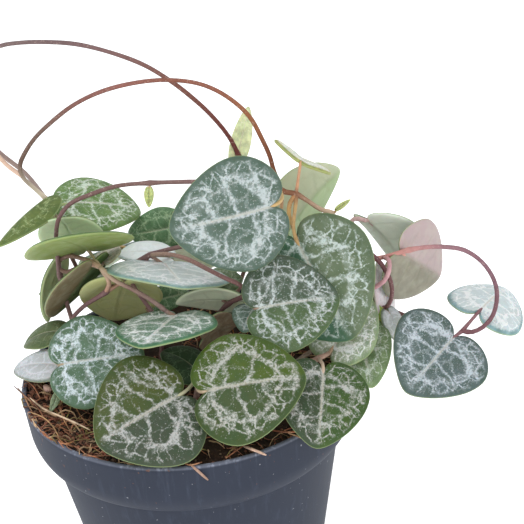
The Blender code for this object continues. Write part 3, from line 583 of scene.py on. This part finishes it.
def heart_outline():
    """The leaf's outline from the notch round the left lobe to the tip and back, in leaf lengths along
    the midrib and shares of the half width: a curve for the lobe and one for the side, with the tip
    rounded by moving each corner near it halfway to the middle of its neighbours a few times."""
    steps = np.arange(CURVE_SPOKES) / CURVE_SPOKES
    half = np.vstack([bezier(LOBE_CURVE, steps), bezier(SIDE_CURVE, steps)])
    outline = np.vstack([half, [(1.0, 0.0)], half[:0:-1] * (1, -1)])
    near_tip = smooth_step(outline[:, :1], *TIP_ZONE)
    for _ in range(TIP_ROUNDING):
        middle = (np.roll(outline, 1, axis=0) + np.roll(outline, -1, axis=0)) / 2
        outline = outline + (middle - outline) * near_tip * 0.5
    return outline


def blade_frame(leaf, place):
    """A leaf's notch, the directions along its midrib, across to its left lobe and out of its upper face,
    its length and its half width."""
    notch, tip, lobe = place(*leaf.notch), place(*leaf.tip), place(*leaf.lobe)
    along = unit(tip - notch)
    aside = lobe - notch
    aside = aside - along * np.dot(aside, along)
    across = unit(aside)
    length, half = np.linalg.norm(tip - notch), np.linalg.norm(aside)
    return Blade(notch, along, across, np.cross(along, across), length, half)


def blade_middle(leaf, blade, x, y):
    """Places on the middle of a blade's thickness. Its halves rise from the midrib by fold, droop to the
    margin with the square of y, and its midrib arches by curl as 4x(1 - x)."""
    rise = leaf.fold * (np.sqrt(y**2 + CREASE**2) - CREASE) - leaf.droop * y**2 + leaf.curl * 4 * x * (1 - x)
    flat = x[:, None] * blade.length * blade.along + y[:, None] * blade.half * blade.across
    return blade.notch + flat + rise[:, None] * blade.out


def halves(codes, y):
    """The colour of each half of a leaf, blended over the midrib."""
    both = shades(codes)
    share = smooth_step(y, -0.12, 0.12)[:, None]
    return both[0] * share + both[-1] * (1 - share)


def add_blade(skin, leaf, blade, seed):
    """A closed heart-shaped blade. Its rows are the outline drawn in towards a point on the midrib, over
    the upper face, where side is 1, round the margin, where it is 0, and back under the lower face, where
    it is -1. The thickness narrows to nothing at the margin as a quarter ellipse, and noise crinkles the
    blade and waves its margin."""
    outline = heart_outline()
    spokes, face = len(outline), len(BLADE_RINGS) * len(outline) + 1
    shares = np.array([*BLADE_RINGS, 1.0, *BLADE_RINGS[::-1]])
    heart = np.array([BLADE_HEART, 0.0])
    flat = heart + (outline - heart) * shares[:, None, None]
    x, y = np.vstack([heart, flat.reshape(-1, 2), heart]).T
    share = np.hstack([0.0, np.repeat(shares, spokes), 0.0])
    side = np.repeat([1.0, 0.0, -1.0], [face, spokes, face])
    edge = np.clip((share - (1 - EDGE_ROUND)) / EDGE_ROUND, 0, 1)
    size = min(1.0, blade.length / FULL_LENGTH)
    thick = BLADE_THICKNESS / 2 * (0.55 + 0.45 * size) * np.sqrt(1 - edge**2)
    places = np.column_stack([x * blade.length, y * blade.half, np.full(len(x), seed * 7.3)])
    crinkle = CRINKLE * ripple(places, CRINKLE_SIZE, 11) * share
    wave = MARGIN_WAVE * ripple(places, MARGIN_WAVE_SIZE, 12) * share**3
    lift = side * thick + (crinkle + wave) * size
    corners = blade_middle(leaf, blade, x, y) + lift[:, None] * blade.out
    look = LOOKS[leaf.look]
    skin.add(
        corners[None, 0],
        corners[1:-1].reshape(1, len(shares), spokes, 3),
        corners[None, -1],
        place=np.column_stack([x, y * blade.half / blade.length, np.full(len(x), seed * 3.7)]),
        share=share,
        upper=(side + 1) / 2,
        green=halves(look.green, y),
        silver=srgb(look.silver),
        frost=look.frost,
        under=halves(look.under, y),
    )


def add_stem(skin, path, radii, colours):
    """One tube along a path, with a radius and a colour for each of its points."""
    tint = np.vstack([colours[:1], np.repeat(colours, STEM_SIDES, axis=0), colours[-1:]])
    skin.add(*tubes(path[None], radii[None], STEM_SIDES), tint=tint)


def add_stalk(skin, leaf, blade, start, bark):
    """A leaf's stalk: a curve that leaves the stem towards the notch, comes in line with the midrib there
    and ends inside the blade, narrow where it ends."""
    sink = np.array([STALK_SINK * 0.3, STALK_SINK]) / blade.length
    inside = blade_middle(leaf, blade, sink, np.zeros(2))
    pull = np.linalg.norm(inside[0] - start) * STALK_PULL
    leaving = start + unit(inside[0] - start) * pull
    path = bezier([start, leaving, inside[0] - blade.along * pull, inside[0]], np.linspace(0, 1, STALK_RINGS))
    path = np.vstack([path, inside[1:]])
    t = np.linspace(0, 1, len(path))
    size = min(1.0, 0.45 + blade.length / 25)
    radii = STALK_RADIUS * size * (1.1 - 0.25 * smooth_step(t, 0.0, 0.4) + 0.2 * smooth_step(t, 0.7, 0.9))
    radii *= 1 - 0.5 * smooth_step(t, 0.93, 1.0)
    share = smooth_step(t, 0.0, 0.25)[:, None]
    add_stem(skin, path, radii, bark * (1 - share) + srgb(LOOKS[leaf.look].stalk) * share)


def to_mound(x, y):
    """How far a place lies towards the mound, from the pot's middle."""
    return x * math.cos(MOUND_ANGLE) + y * math.sin(MOUND_ANGLE)


def soil_level(x, y):
    """The soil's height: a mound against the left of the rim, and lumps of three sizes. The mound grows
    with the square of the distance towards it."""
    places = np.stack([x, y, np.zeros_like(x)], axis=-1)
    lumps = sum(height * ripple(places, size, i + 1) for i, (height, size) in enumerate(SOIL_LUMPS))
    return SOIL_LEVEL + lumps + SOIL_MOUND * np.clip(to_mound(x, y) / RIM_RADIUS, 0, 1) ** 2


def root_points(x, y):
    """The straight foot of a stem, from under the soil to a little above it."""
    level = float(soil_level(x, y))
    heights = (level - ROOT_DEPTH, level - ROOT_DEPTH / 2, level, level + ROOT_STUB)
    return [np.array([x, y, height]) for height in heights]


def add_strand(skin, foot, points, bark, joints):
    """A stem along its points, thicker at its joints, with its bark's colours spread along it. It gives
    back the colour at each point."""
    path, marks = smooth_path(foot + points, STEM_STEP)
    marks = marks[len(foot) :]
    distance = running(np.linalg.norm(np.diff(path, axis=0), axis=1))
    radii = STEM_RADIUS * (1 + STEM_UNEVEN * ripple(distance[:, None] * (1, 0, 0), STEM_UNEVEN_SIZE, 21))
    for joint in joints:
        away = (distance - distance[marks[joint]]) / JOINT_LENGTH
        radii += STEM_RADIUS * JOINT_SWELL * np.exp(-(away**2))
    radii[-1] *= 0.6
    start = distance[marks[0]]
    share = np.clip((distance - start) / (distance[-1] - start), 0, 1) * (len(bark) - 1)
    colours = np.column_stack([np.interp(share, np.arange(len(bark)), part) for part in bark.T])
    add_stem(skin, path, radii, colours)
    return colours[marks]


def make_vine(name, vine, leaf_finish, bark_finish, seed):
    """A vine as two pieces: the blades of its leaves, and its stems with the leaves' stalks."""
    stems, blades = Skin(), Skin()
    strands, barks = [], []
    for i, (codes, *points) in enumerate(vine.strands):
        strands.append([vine.frame(*point) if len(point) == 3 else strands[point[0]][point[1]]
                        for point in points])
        foot = root_points(*vine.roots[i]) if i < len(vine.roots) else []
        joints = sorted({leaf.at[1] for leaf in vine.leaves if leaf.at[0] == i})
        barks.append(add_strand(stems, foot, strands[i], shades(codes), joints))
    for i, leaf in enumerate(vine.leaves):
        strand, point = leaf.at
        blade = blade_frame(leaf, vine.frame)
        add_stalk(stems, leaf, blade, strands[strand][point], barks[strand][point])
        add_blade(blades, leaf, blade, seed + i)
    blades.piece(name + "_leaves", leaf_finish, "vine", "vine_" + name)
    stems.piece(name + "_stems", bark_finish, "vine", "vine_" + name)


def wall_outline(inset):
    """The pot's wall from the foot to the lip, moved in by inset: a straight body, a curved shoulder and
    a collar that widens a little to the rim."""
    neck, collar_foot = POT_HEIGHT - COLLAR_HEIGHT, POT_HEIGHT - COLLAR_STRAIGHT
    body = np.linspace((FOOT_RADIUS, 0.0), (NECK_RADIUS, neck), 12)[:-1]
    bend = [(NECK_RADIUS, neck), (NECK_RADIUS + 1.6, neck + 0.5), (COLLAR_RADIUS - 0.5, neck + 2.2),
            (COLLAR_RADIUS, collar_foot)]
    shoulder = bezier(bend, np.linspace(0, 1, 13))
    collar = np.linspace((COLLAR_RADIUS, collar_foot), (RIM_RADIUS, POT_HEIGHT), 6)[1:]
    outline = np.vstack([body, shoulder, collar])
    tangents = unit(np.gradient(outline, axis=0))
    moved = outline + np.column_stack([-tangents[:, 1], tangents[:, 0]]) * inset
    moved[-1, 1] = POT_HEIGHT
    return moved


def make_pot(finish):
    """The pot as one turned shape with a rounded lip, and holes drilled through its floor."""
    outside, inside = wall_outline(0.0), wall_outline(WALL)
    slope = (outside[1] - outside[0])[0] / (outside[1] - outside[0])[1]
    foot = [(FOOT_RADIUS - 1.2, 0.0), (FOOT_RADIUS - 0.35, 0.12), (FOOT_RADIUS + 0.1, 0.7)]
    lip = [(RIM_RADIUS - WALL / 2 + WALL / 2 * math.cos(t), POT_HEIGHT - LIP_ROUND + LIP_ROUND * math.sin(t))
           for t in np.linspace(0, math.pi, 9)]
    profile = [(0.0, 0.0), (FLOOR_MIDDLE, 0.0), *foot, *outside[1:-1], *lip, *inside[-2:0:-1]]
    profile += [(inside[0][0] + slope * FLOOR, FLOOR), (FLOOR_MIDDLE, FLOOR), (0.0, FLOOR)]
    skin, drill_skin = Skin(), Skin()
    skin.add(*turned(profile, POT_SIDES))
    pot = skin.piece("pot_shell", finish, "pot", "pot")
    drill = turned([(0, -1), (DRAIN_RADIUS, -1), (DRAIN_RADIUS, FLOOR + 1), (0, FLOOR + 1)], DRAIN_SIDES)
    for i in range(DRAIN_COUNT):
        angle = (i + DRAIN_TURN) * 2 * math.pi / DRAIN_COUNT
        place = np.array([math.cos(angle), math.sin(angle), 0.0]) * DRAIN_CIRCLE
        drill_skin.add(*(part + place for part in drill))
    drills = drill_skin.piece("drills", finish, "pot")
    cut = pot.modifiers.new("drain", "BOOLEAN")
    cut.operation = "DIFFERENCE"
    cut.object = drills
    evaluated = pot.evaluated_get(bpy.context.evaluated_depsgraph_get())
    drilled = bpy.data.meshes.new_from_object(evaluated)
    pot.modifiers.clear()
    pot.data = drilled
    drilled.set_sharp_from_angle(angle=SHARP_ANGLE)
    bpy.data.objects.remove(drills)


def make_soil(finish):
    """The soil as one turned shape, whose top is raised to the soil's level."""
    wall = wall_outline(WALL + SOIL_GAP)
    top = SOIL_LEVEL - 0.5
    wall = wall[(wall[:, 1] > FLOOR + 2) & (wall[:, 1] < top)]
    radii = np.linspace(INNER_RADIUS - SOIL_GAP - 0.25, 0.4, SOIL_RINGS)
    base = FLOOR + SOIL_GAP
    profile = [(0.0, base), (FOOT_RADIUS - WALL - SOIL_GAP, base), *wall]
    profile += [(radius, top) for radius in radii] + [(0.0, top)]
    first, rows, last = turned(profile, SOIL_SIDES)
    for surface in (rows[:, -SOIL_RINGS:], last):
        surface[..., 2] = soil_level(surface[..., 0], surface[..., 1])
    skin = Skin()
    skin.add(first, rows, last, tint=srgb(SOIL_SHADE))
    skin.piece("soil_fill", finish, "soil", "soil")


def scattered(count, rng, lean_left):
    """Random places on the soil, as (x, y). A share lean_left of them moves to the left of the rim."""
    radius = (INNER_RADIUS - 1.0) * np.sqrt(rng.uniform(0, 1, count))
    angle = rng.uniform(0, 2 * math.pi, count)
    left = rng.uniform(0, 1, count) < lean_left
    angle = np.where(left, MOUND_ANGLE + rng.normal(0.0, 0.5, count), angle)
    radius = np.where(left, (INNER_RADIUS - 0.3) * rng.uniform(0.72, 1.0, count) ** 0.6, radius)
    return np.column_stack([radius * np.cos(angle), radius * np.sin(angle)])


def any_shade(codes, rng, count):
    """One of these colours at random for each of many shapes."""
    choices = shades(codes)
    return choices[rng.integers(0, len(choices), count)][:, None]


def make_fibres(finish):
    """Coir fibres: thin tubes along random gentle bends that lie on the soil, and the single ones that
    lie over it and over the rim."""
    rng = np.random.default_rng(5)
    start = scattered(FIBRE_COUNT, rng, 0.3)
    s = np.linspace(0, 1, FIBRE_STEPS)
    length = rng.gamma(3.0, 1.6, FIBRE_COUNT)[:, None]
    heading = rng.uniform(0, 2 * math.pi, FIBRE_COUNT)[:, None] + rng.normal(0, 1.3, FIBRE_COUNT)[:, None] * s
    x = start[:, :1] + np.cumsum(np.cos(heading), axis=1) * length / FIBRE_STEPS
    y = start[:, 1:] + np.cumsum(np.sin(heading), axis=1) * length / FIBRE_STEPS
    radius = np.hypot(x, y)
    over_rim = smooth_step(to_mound(x, y) / np.maximum(radius, 1e-6), 0.75, 0.95)
    pulled = np.minimum(radius, INNER_RADIUS - 0.4 + over_rim * (WALL + 0.5)) / np.maximum(radius, 1e-6)
    x, y = x * pulled, y * pulled
    lift = rng.uniform(0.0, 1.4, FIBRE_COUNT)[:, None] * np.sin(math.pi * s)
    on_lip = smooth_step(radius * pulled, INNER_RADIUS - 1.6, INNER_RADIUS)
    level = soil_level(x, y) + (POT_HEIGHT + 0.15 - soil_level(x, y)) * on_lip * over_rim
    paths = np.stack([x, y, level + 0.1 + lift], axis=-1)
    thickness = FIBRE_RADIUS * rng.uniform(0.6, 1.6, FIBRE_COUNT)
    radii = thickness[:, None] * (1 - 0.6 * s[None] ** 2)
    skin = Skin()
    skin.add(*tubes(paths, radii, 4), tint=any_shade(FIBRE_SHADES, rng, FIBRE_COUNT))
    for radius, code, *points in LOOSE_FIBRES:
        path, _ = smooth_path([seen_at(*point) for point in points], 0.7)
        taper = radius * (1 - 0.5 * np.linspace(-1, 1, len(path)) ** 4)
        skin.add(*tubes(path[None], taper[None], 6), tint=srgb(code))
    skin.piece("soil_fibres", finish, "soil")


def make_crumbs(finish):
    """Crumbs of soil: small rounded lumps, each a squashed and turned ball of few faces."""
    rng = np.random.default_rng(8)
    places = scattered(CRUMB_COUNT, rng, 0.35)
    size = rng.gamma(4.0, 0.075, CRUMB_COUNT)
    centres = np.column_stack([places, soil_level(*places.T) + size * 0.3])
    tilt = np.radians([45.0, 0.0, -45.0])
    _, (ball,), _ = turned([(0, 1), *zip(np.cos(tilt), np.sin(tilt)), (0, -1)], CRUMB_SIDES)
    axes = unit(rng.normal(size=(CRUMB_COUNT, 3)))
    beside = unit(np.cross(axes, unit(rng.normal(size=(CRUMB_COUNT, 3)))))
    turn = np.stack([beside, np.cross(axes, beside), axes], axis=1) * size[:, None, None]
    turn = turn * rng.uniform(0.55, 1.3, (CRUMB_COUNT, 3, 1))
    jitter = 1 + rng.uniform(-0.28, 0.28, (CRUMB_COUNT, 3, CRUMB_SIDES, 1))
    rows = centres[:, None, None] + np.einsum("rsk,nkl->nrsl", ball, turn) * jitter
    skin = Skin()
    skin.add(centres + turn[:, 2], rows, centres - turn[:, 2], tint=any_shade(CRUMB_SHADES, rng, CRUMB_COUNT))
    skin.piece("soil_crumbs", finish, "soil")


class Term:
    """A socket of a material. Arithmetic on it adds Math nodes."""

    def __init__(self, finish, socket):
        self.finish = finish
        self.socket = socket

    def maths(self, operation, *values):
        return self.finish.node("Math", {"operation": operation}, dict(enumerate(values)))

    def __add__(self, other):
        return self.maths("ADD", self, other)

    def __sub__(self, other):
        return self.maths("SUBTRACT", self, other)

    def __rsub__(self, other):
        return self.maths("SUBTRACT", other, self)

    def __mul__(self, other):
        return self.maths("MULTIPLY", self, other)

    def __truediv__(self, other):
        return self.maths("DIVIDE", self, other)

    def __rtruediv__(self, other):
        return self.maths("DIVIDE", other, self)

    def __abs__(self):
        return self.maths("ABSOLUTE", self)

    __radd__ = __add__
    __rmul__ = __mul__


class Finish:
    """A material, and the nodes that lead to its shader."""

    def __init__(self, name, **plain):
        self.material = bpy.data.materials.new(name)
        self.material.use_nodes = True
        self.tree = self.material.node_tree
        self.shader = self.tree.nodes["Principled BSDF"]
        for socket, value in plain.items():
            self.shader.inputs[socket.replace("_", " ")].default_value = value

    def node(self, kind, settings, inputs, output=None):
        """Adds a node, makes its settings, gives its sockets their values or links, and returns the
        output that is named, or its first one."""
        made = self.tree.nodes.new("ShaderNode" + kind)
        for name, value in settings.items():
            setattr(made, name, value)
        open_sockets = [socket for socket in made.inputs if socket.enabled]
        named = {socket.name: socket for socket in reversed(open_sockets)}
        for key, value in inputs.items():
            socket = open_sockets[key] if isinstance(key, int) else named[key]
            if isinstance(value, Term):
                self.tree.links.new(value.socket, socket)
            else:
                socket.default_value = value
        outputs = [socket for socket in made.outputs if socket.enabled]
        return Term(self, next((socket for socket in outputs if socket.name == output), outputs[0]))

    def value(self, name, output="Fac"):
        """A value of the mesh, or with output Vector a vector value."""
        return self.node("Attribute", {"attribute_name": name}, {}, output)

    def place(self):
        """The place on the object."""
        return self.node("TexCoord", {}, {}, "Object")

    def band(self, value, low, high):
        """0 at low, 1 at high, eased between them."""
        settings = {"interpolation_type": "SMOOTHSTEP"}
        return self.node("MapRange", settings, {"Value": value, "From Min": low, "From Max": high})

    def line(self, distance, width):
        """A hill that falls from 1 on a line to 0 at a width from it."""
        return 1 - self.band(distance, 0.0, width)

    def noise(self, place, scale, detail=2.0, roughness=0.5, output="Fac"):
        inputs = {"Vector": place, "Scale": scale, "Detail": detail, "Roughness": roughness}
        return self.node("TexNoise", {}, inputs, output)

    def edges(self, place, scale):
        """The distance from the nearest edge between random cells."""
        return self.node("TexVoronoi", {"feature": "DISTANCE_TO_EDGE"}, {"Vector": place, "Scale": scale})

    def mix(self, share, a, b):
        """From colour a to colour b by a share. A colour is a socket or a #rrggbb code."""
        a, b = (value if isinstance(value, Term) else (*srgb(value), 1.0) for value in (a, b))
        settings = {"data_type": "RGBA", "blend_type": "MIX", "clamp_factor": True}
        return self.node("Mix", settings, {"Factor": share, "A": a, "B": b})

    def vector(self, operation, *values, output=None):
        return self.node("VectorMath", {"operation": operation}, dict(enumerate(values)), output)

    def combined(self, x, y, z):
        return self.node("CombineXYZ", {}, {0: x, 1: y, 2: z})

    def parts(self, vector):
        """The x, y and z of a vector."""
        made = self.node("SeparateXYZ", {}, {0: vector})
        return [Term(self, socket) for socket in made.socket.node.outputs]

    def largest(self, first, *others):
        """The largest of these values."""
        for other in others:
            first = first.maths("MAXIMUM", first, other)
        return first

    def done(self, bump, distance, **linked):
        """Links the shader's sockets, and a bump of this depth in millimetres, and returns the material."""
        made = self.node("Bump", {}, {"Strength": 1.0, "Distance": distance * MM, "Height": bump})
        for name, value in {**linked, "Normal": made}.items():
            self.tree.links.new(value.socket, self.shader.inputs[name.replace("_", " ")])
        return self.material


def leaf_finish():
    """Green blades marbled with silver. The marbling is of several kinds of line, each a hill
    that falls off with the distance from its own curve: the midrib, side veins that leave it, two veins
    into the lobes, a vein round the middle, the edges of cells between them, arms that run out past the
    round vein, and twigs. They join as 1 minus the product of what each leaves bare. All of it is bent by
    noise, and finer noise frays it into specks."""
    paint = Finish("marbled_leaf", Specular_IOR_Level=0.25, Subsurface_Weight=0.12, Subsurface_Scale=0.0006)
    band, line, noise, mix = paint.band, paint.line, paint.noise, paint.mix
    place = paint.value("place", "Vector")
    share = paint.value("share")
    frost = paint.value("frost")
    bend = paint.vector("SUBTRACT", noise(place, 4.0, 5.0, 0.62, output="Color"), (0.5, 0.5, 0.5))
    bend = paint.node("VectorMath", {"operation": "SCALE"}, {0: bend, "Scale": 0.24})
    bent = paint.vector("ADD", place, bend)
    x, y, _ = paint.parts(bent)
    out = abs(y)
    heart_x, heart_y, layer = paint.parts(paint.vector("SUBTRACT", bent, (BLADE_HEART, 0.0, 0.0)))
    reach = paint.vector("LENGTH", paint.combined(heart_x, heart_y, 0.0), output="Value")
    compass = paint.combined(heart_x / reach, heart_y / reach, layer * 0.1 + share * 0.9)
    wobble = (noise(bent, 3.0, 3.0, 0.6) - 0.5) * 0.6
    inner = 1 - band(share + wobble * 0.4, 0.6, 0.72)
    off_midrib = paint.parts(place)[1]
    midrib = line(abs(off_midrib * 0.8 + y * 0.2), MIDRIB_WIDTH) * (1 - band(x, 0.6, 1.0) * 0.7)
    core = line(abs(off_midrib), MIDRIB_CORE) * (1 - band(x, 0.4, 0.9))
    step = (x - 0.15 * out) / (VEIN_STEP + 0.12 * out) + band(y, -0.02, 0.02) * 0.5 + 0.3
    veins = line(abs(step.maths("FRACT", step) - 0.5), VEIN_WIDTH)
    veins = veins * (1 - band(share + wobble * 0.3, 0.68, 0.82))
    patchy = band(noise(bent, 2.2), 0.3, 0.65) * 0.5 + 0.35
    ring = line(abs(share + wobble - RING_SHARE), RING_WIDTH) * patchy
    basal = line(abs(out * 0.75 - (x + 0.02) * 0.9), MIDRIB_WIDTH) * inner
    cells = line(paint.edges(bent, CELL_SCALE), 0.1) * inner
    arms = line(paint.edges(compass, ARM_SCALE), 0.11) * band(share, 0.5, 0.64)
    length = 0.87 + (noise(compass, 6.0) - 0.5) * 0.5
    arms = arms * line(share - length, 0.14)
    twigs = line(paint.edges(bent, TWIG_SCALE), 0.15) * band(share, 0.4, 0.6)
    spread = (1 - midrib * 0.85) * (1 - veins * 0.75) * (1 - ring * 0.8) * (1 - basal * 0.7)
    web = 1 - spread * (1 - cells * 0.4) * (1 - arms * 0.75) * (1 - twigs * 0.26)
    fray = noise(place, FRAY_SCALE, 4.0, 0.8) - 0.5
    grain = noise(place, GRAIN_SCALE, 2.0, 0.7) - 0.5
    margin = 1 - band(share + fray * 0.2, 0.88, 0.97)
    ragged = web + fray * 1.8 + grain * 1.6 + (frost - 1) * 0.4
    silvered = band(ragged, 0.38, 0.95) * margin
    veil = paint.largest(web * 0.45 + (frost - 1.1) * 0.5, (frost - 1.2) * 0.85) * margin
    specks = band(grain + web * 0.25 + (frost - 1) * 0.2, 0.1, 0.21) * margin * 0.47
    amount = paint.largest(silvered * 0.8, veil, specks)
    mottle = noise(place, 8.0, 4.0)
    green = mix(band(mottle, 0.3, 0.7) * 0.4, paint.value("green", "Vector"), "#2f4a2c")
    top = mix(amount, green, paint.value("silver", "Vector"))
    top = mix(core * 0.45, top, "#b3ab96")
    web_under = paint.largest(midrib, veins * 0.6, ring * 0.4, cells * 0.3)
    under = mix(web_under * 0.16, paint.value("under", "Vector"), "#5e6b3e")
    under = mix(band(mottle, 0.35, 0.8) * 0.2, under, "#d5d6bc")
    faces = mix(band(paint.value("upper"), 0.45, 0.55), under, top)
    colour = mix(band(share, 0.985, 1.0) * 0.5, faces, "#9fb078")
    height = mottle * 0.4 + grain * 0.2 - midrib * 1.1 - veins * 0.4 - ring * 0.3
    roughness = 0.4 + mottle * 0.14 + silvered * 0.08
    return paint.done(height, 0.13, Base_Color=colour, Roughness=roughness)


def bark_finish():
    """Wiry stems: their own colours, with dark streaks and small pale dots."""
    paint = Finish("stem_bark", Specular_IOR_Level=0.12)
    place = paint.place()
    streaks = paint.noise(place, 900.0, 3.0)
    dots = paint.band(paint.noise(place, 2600.0, 1.0), 0.62, 0.7)
    tint = paint.value("tint", "Vector")
    dark = paint.mix(0.45, tint, "#3a2422")
    colour = paint.mix(paint.band(streaks, 0.4, 0.7) * 0.35, tint, dark)
    colour = paint.mix(dots * 0.3, colour, "#d4bcae")
    return paint.done(streaks * 0.6 + dots * 0.4, 0.05, Base_Color=colour, Roughness=0.36 + streaks * 0.2)


def coir_finish(name, dark, light):
    """Peat and coir: the given colours, mottled from dark to light. The peat's near black is partly its own
    colour and partly painted shade of the deep gaps between fibres and crumbs.
    """
    paint = Finish(name, Specular_IOR_Level=0.25)
    place = paint.place()
    grit = paint.noise(place, 1500.0, 6.0, 0.7)
    patches = paint.noise(place, 260.0, 3.0)
    colour = paint.mix(paint.band(grit, 0.44, 0.68) * 0.5, paint.value("tint", "Vector"), light)
    colour = paint.mix(paint.band(patches, 0.46, 0.6) * 0.5, colour, dark)
    return paint.done(grit, 0.3, Base_Color=colour, Roughness=0.85 + grit * 0.1)


def pot_finish():
    """Matt slate plastic: faint upright scuffs, dust that lies in specks, dull smears, brown grains near
    the rim, and the top of the lip painted paler, partly as rubbed wear and partly as a painted highlight."""
    paint = Finish("slate_plastic", Specular_IOR_Level=0.18)
    place = paint.place()
    height = paint.parts(place)[2] / MM
    upright = paint.vector("MULTIPLY", place, (1.0, 1.0, 0.08))
    scuffs = paint.band(paint.noise(upright, 900.0, 4.0, 0.65), 0.5, 0.75)
    smears = paint.noise(place, 60.0, 5.0, 0.6)
    specks = paint.band(paint.noise(place, 1300.0, 1.0), 0.75, 0.79)
    grains = paint.band(paint.noise(place, 900.0, 2.0), 0.7, 0.74) * paint.band(height, 44.0, POT_HEIGHT)
    # The top of the lip, painted paler: partly rubbed wear, partly a painted highlight along its edge.
    lip = paint.band(height, POT_HEIGHT - 0.75, POT_HEIGHT - 0.1)
    colour = paint.mix(smears, "#282d3a", "#313745")
    colour = paint.mix(scuffs * 0.2, colour, "#5a6274")
    colour = paint.mix(lip * (0.3 + 0.7 * scuffs), colour, "#9da2b2")
    colour = paint.mix(specks * 0.6, colour, "#a4a7ae")
    colour = paint.mix(grains * 0.8, colour, "#6b4a3c")
    dents = smears * 0.6 + scuffs * 0.3 + specks
    return paint.done(dents, 0.05, Base_Color=colour, Roughness=0.5 + smears * 0.16 + scuffs * 0.1)


def make_floor():
    """A pale square floor that lights a little of itself."""
    paint = Finish("pale_floor", Roughness=0.9, Base_Color=(0.9, 0.9, 0.9, 1.0),
                   Emission_Color=(1.0, 1.0, 1.0, 1.0), Emission_Strength=0.6)
    reach = FLOOR_SIZE / 2 * MM
    mesh = bpy.data.meshes.new("floor")
    mesh.from_pydata([(-reach, -reach, 0), (reach, -reach, 0), (reach, reach, 0), (-reach, reach, 0)], [],
                     [(0, 1, 2, 3)])
    mesh.materials.append(paint.material)
    floor = plain_object("floor", mesh)


def place_along(made, place, right, up, back):
    """Puts a camera or lamp at a place, with its own three axes along the given directions."""
    matrix = np.eye(4)
    matrix[:3] = np.column_stack([right, up, back, place * MM])
    made.matrix_world = Matrix(matrix.tolist())


def make_lights():
    """Soft light from all round, and square lamps that face the plant."""
    world = bpy.data.worlds.new("studio")
    world.use_nodes = True
    sky = world.node_tree.nodes["Background"]
    sky.inputs["Color"].default_value = (0.94, 0.97, 1.0, 1.0)
    sky.inputs["Strength"].default_value = 0.85
    bpy.context.scene.world = world
    for name, place, size, power in LAMPS:
        lamp = bpy.data.lights.new(name, "AREA")
        lamp.shape = "SQUARE"
        lamp.size = size * MM
        lamp.energy = power
        back = unit(np.array(place) - LAMP_TARGET)
        right = unit(np.cross([0.0, 0.0, 1.0], back))
        place_along(plain_object(name, lamp), np.array(place), right, np.cross(back, right), back)


def make_camera():
    """The camera on the line of sight, with a lens that shows the whole view at the rim's distance."""
    view = bpy.data.cameras.new("camera")
    view.sensor_width = SENSOR
    view.lens = SENSOR * SIGHT_DISTANCE / (VIEW_STEP * VIEW_SIZE)
    view.clip_start = 0.01
    camera = plain_object("camera", view)
    place_along(camera, EYE, RIGHT, UP, TOWARDS)
    bpy.context.scene.camera = camera
    bpy.context.scene.view_settings.view_transform = "Standard"


def main():
    make_pot(pot_finish())
    # The peat: near black, partly its own colour and partly painted shade of the gaps in the soil.
    make_soil(coir_finish("peat_and_gap_shade", "#0f0c0a", "#5c4334"))
    coir = coir_finish("coir", "#3c251c", "#dcbb98")
    make_fibres(coir)
    make_crumbs(coir)
    leaves, bark = leaf_finish(), bark_finish()
    for i, (name, vine) in enumerate(VINES.items()):
        make_vine(name, vine, leaves, bark, seed=10 * i + 1)
    make_floor()
    make_lights()
    make_camera()


main()
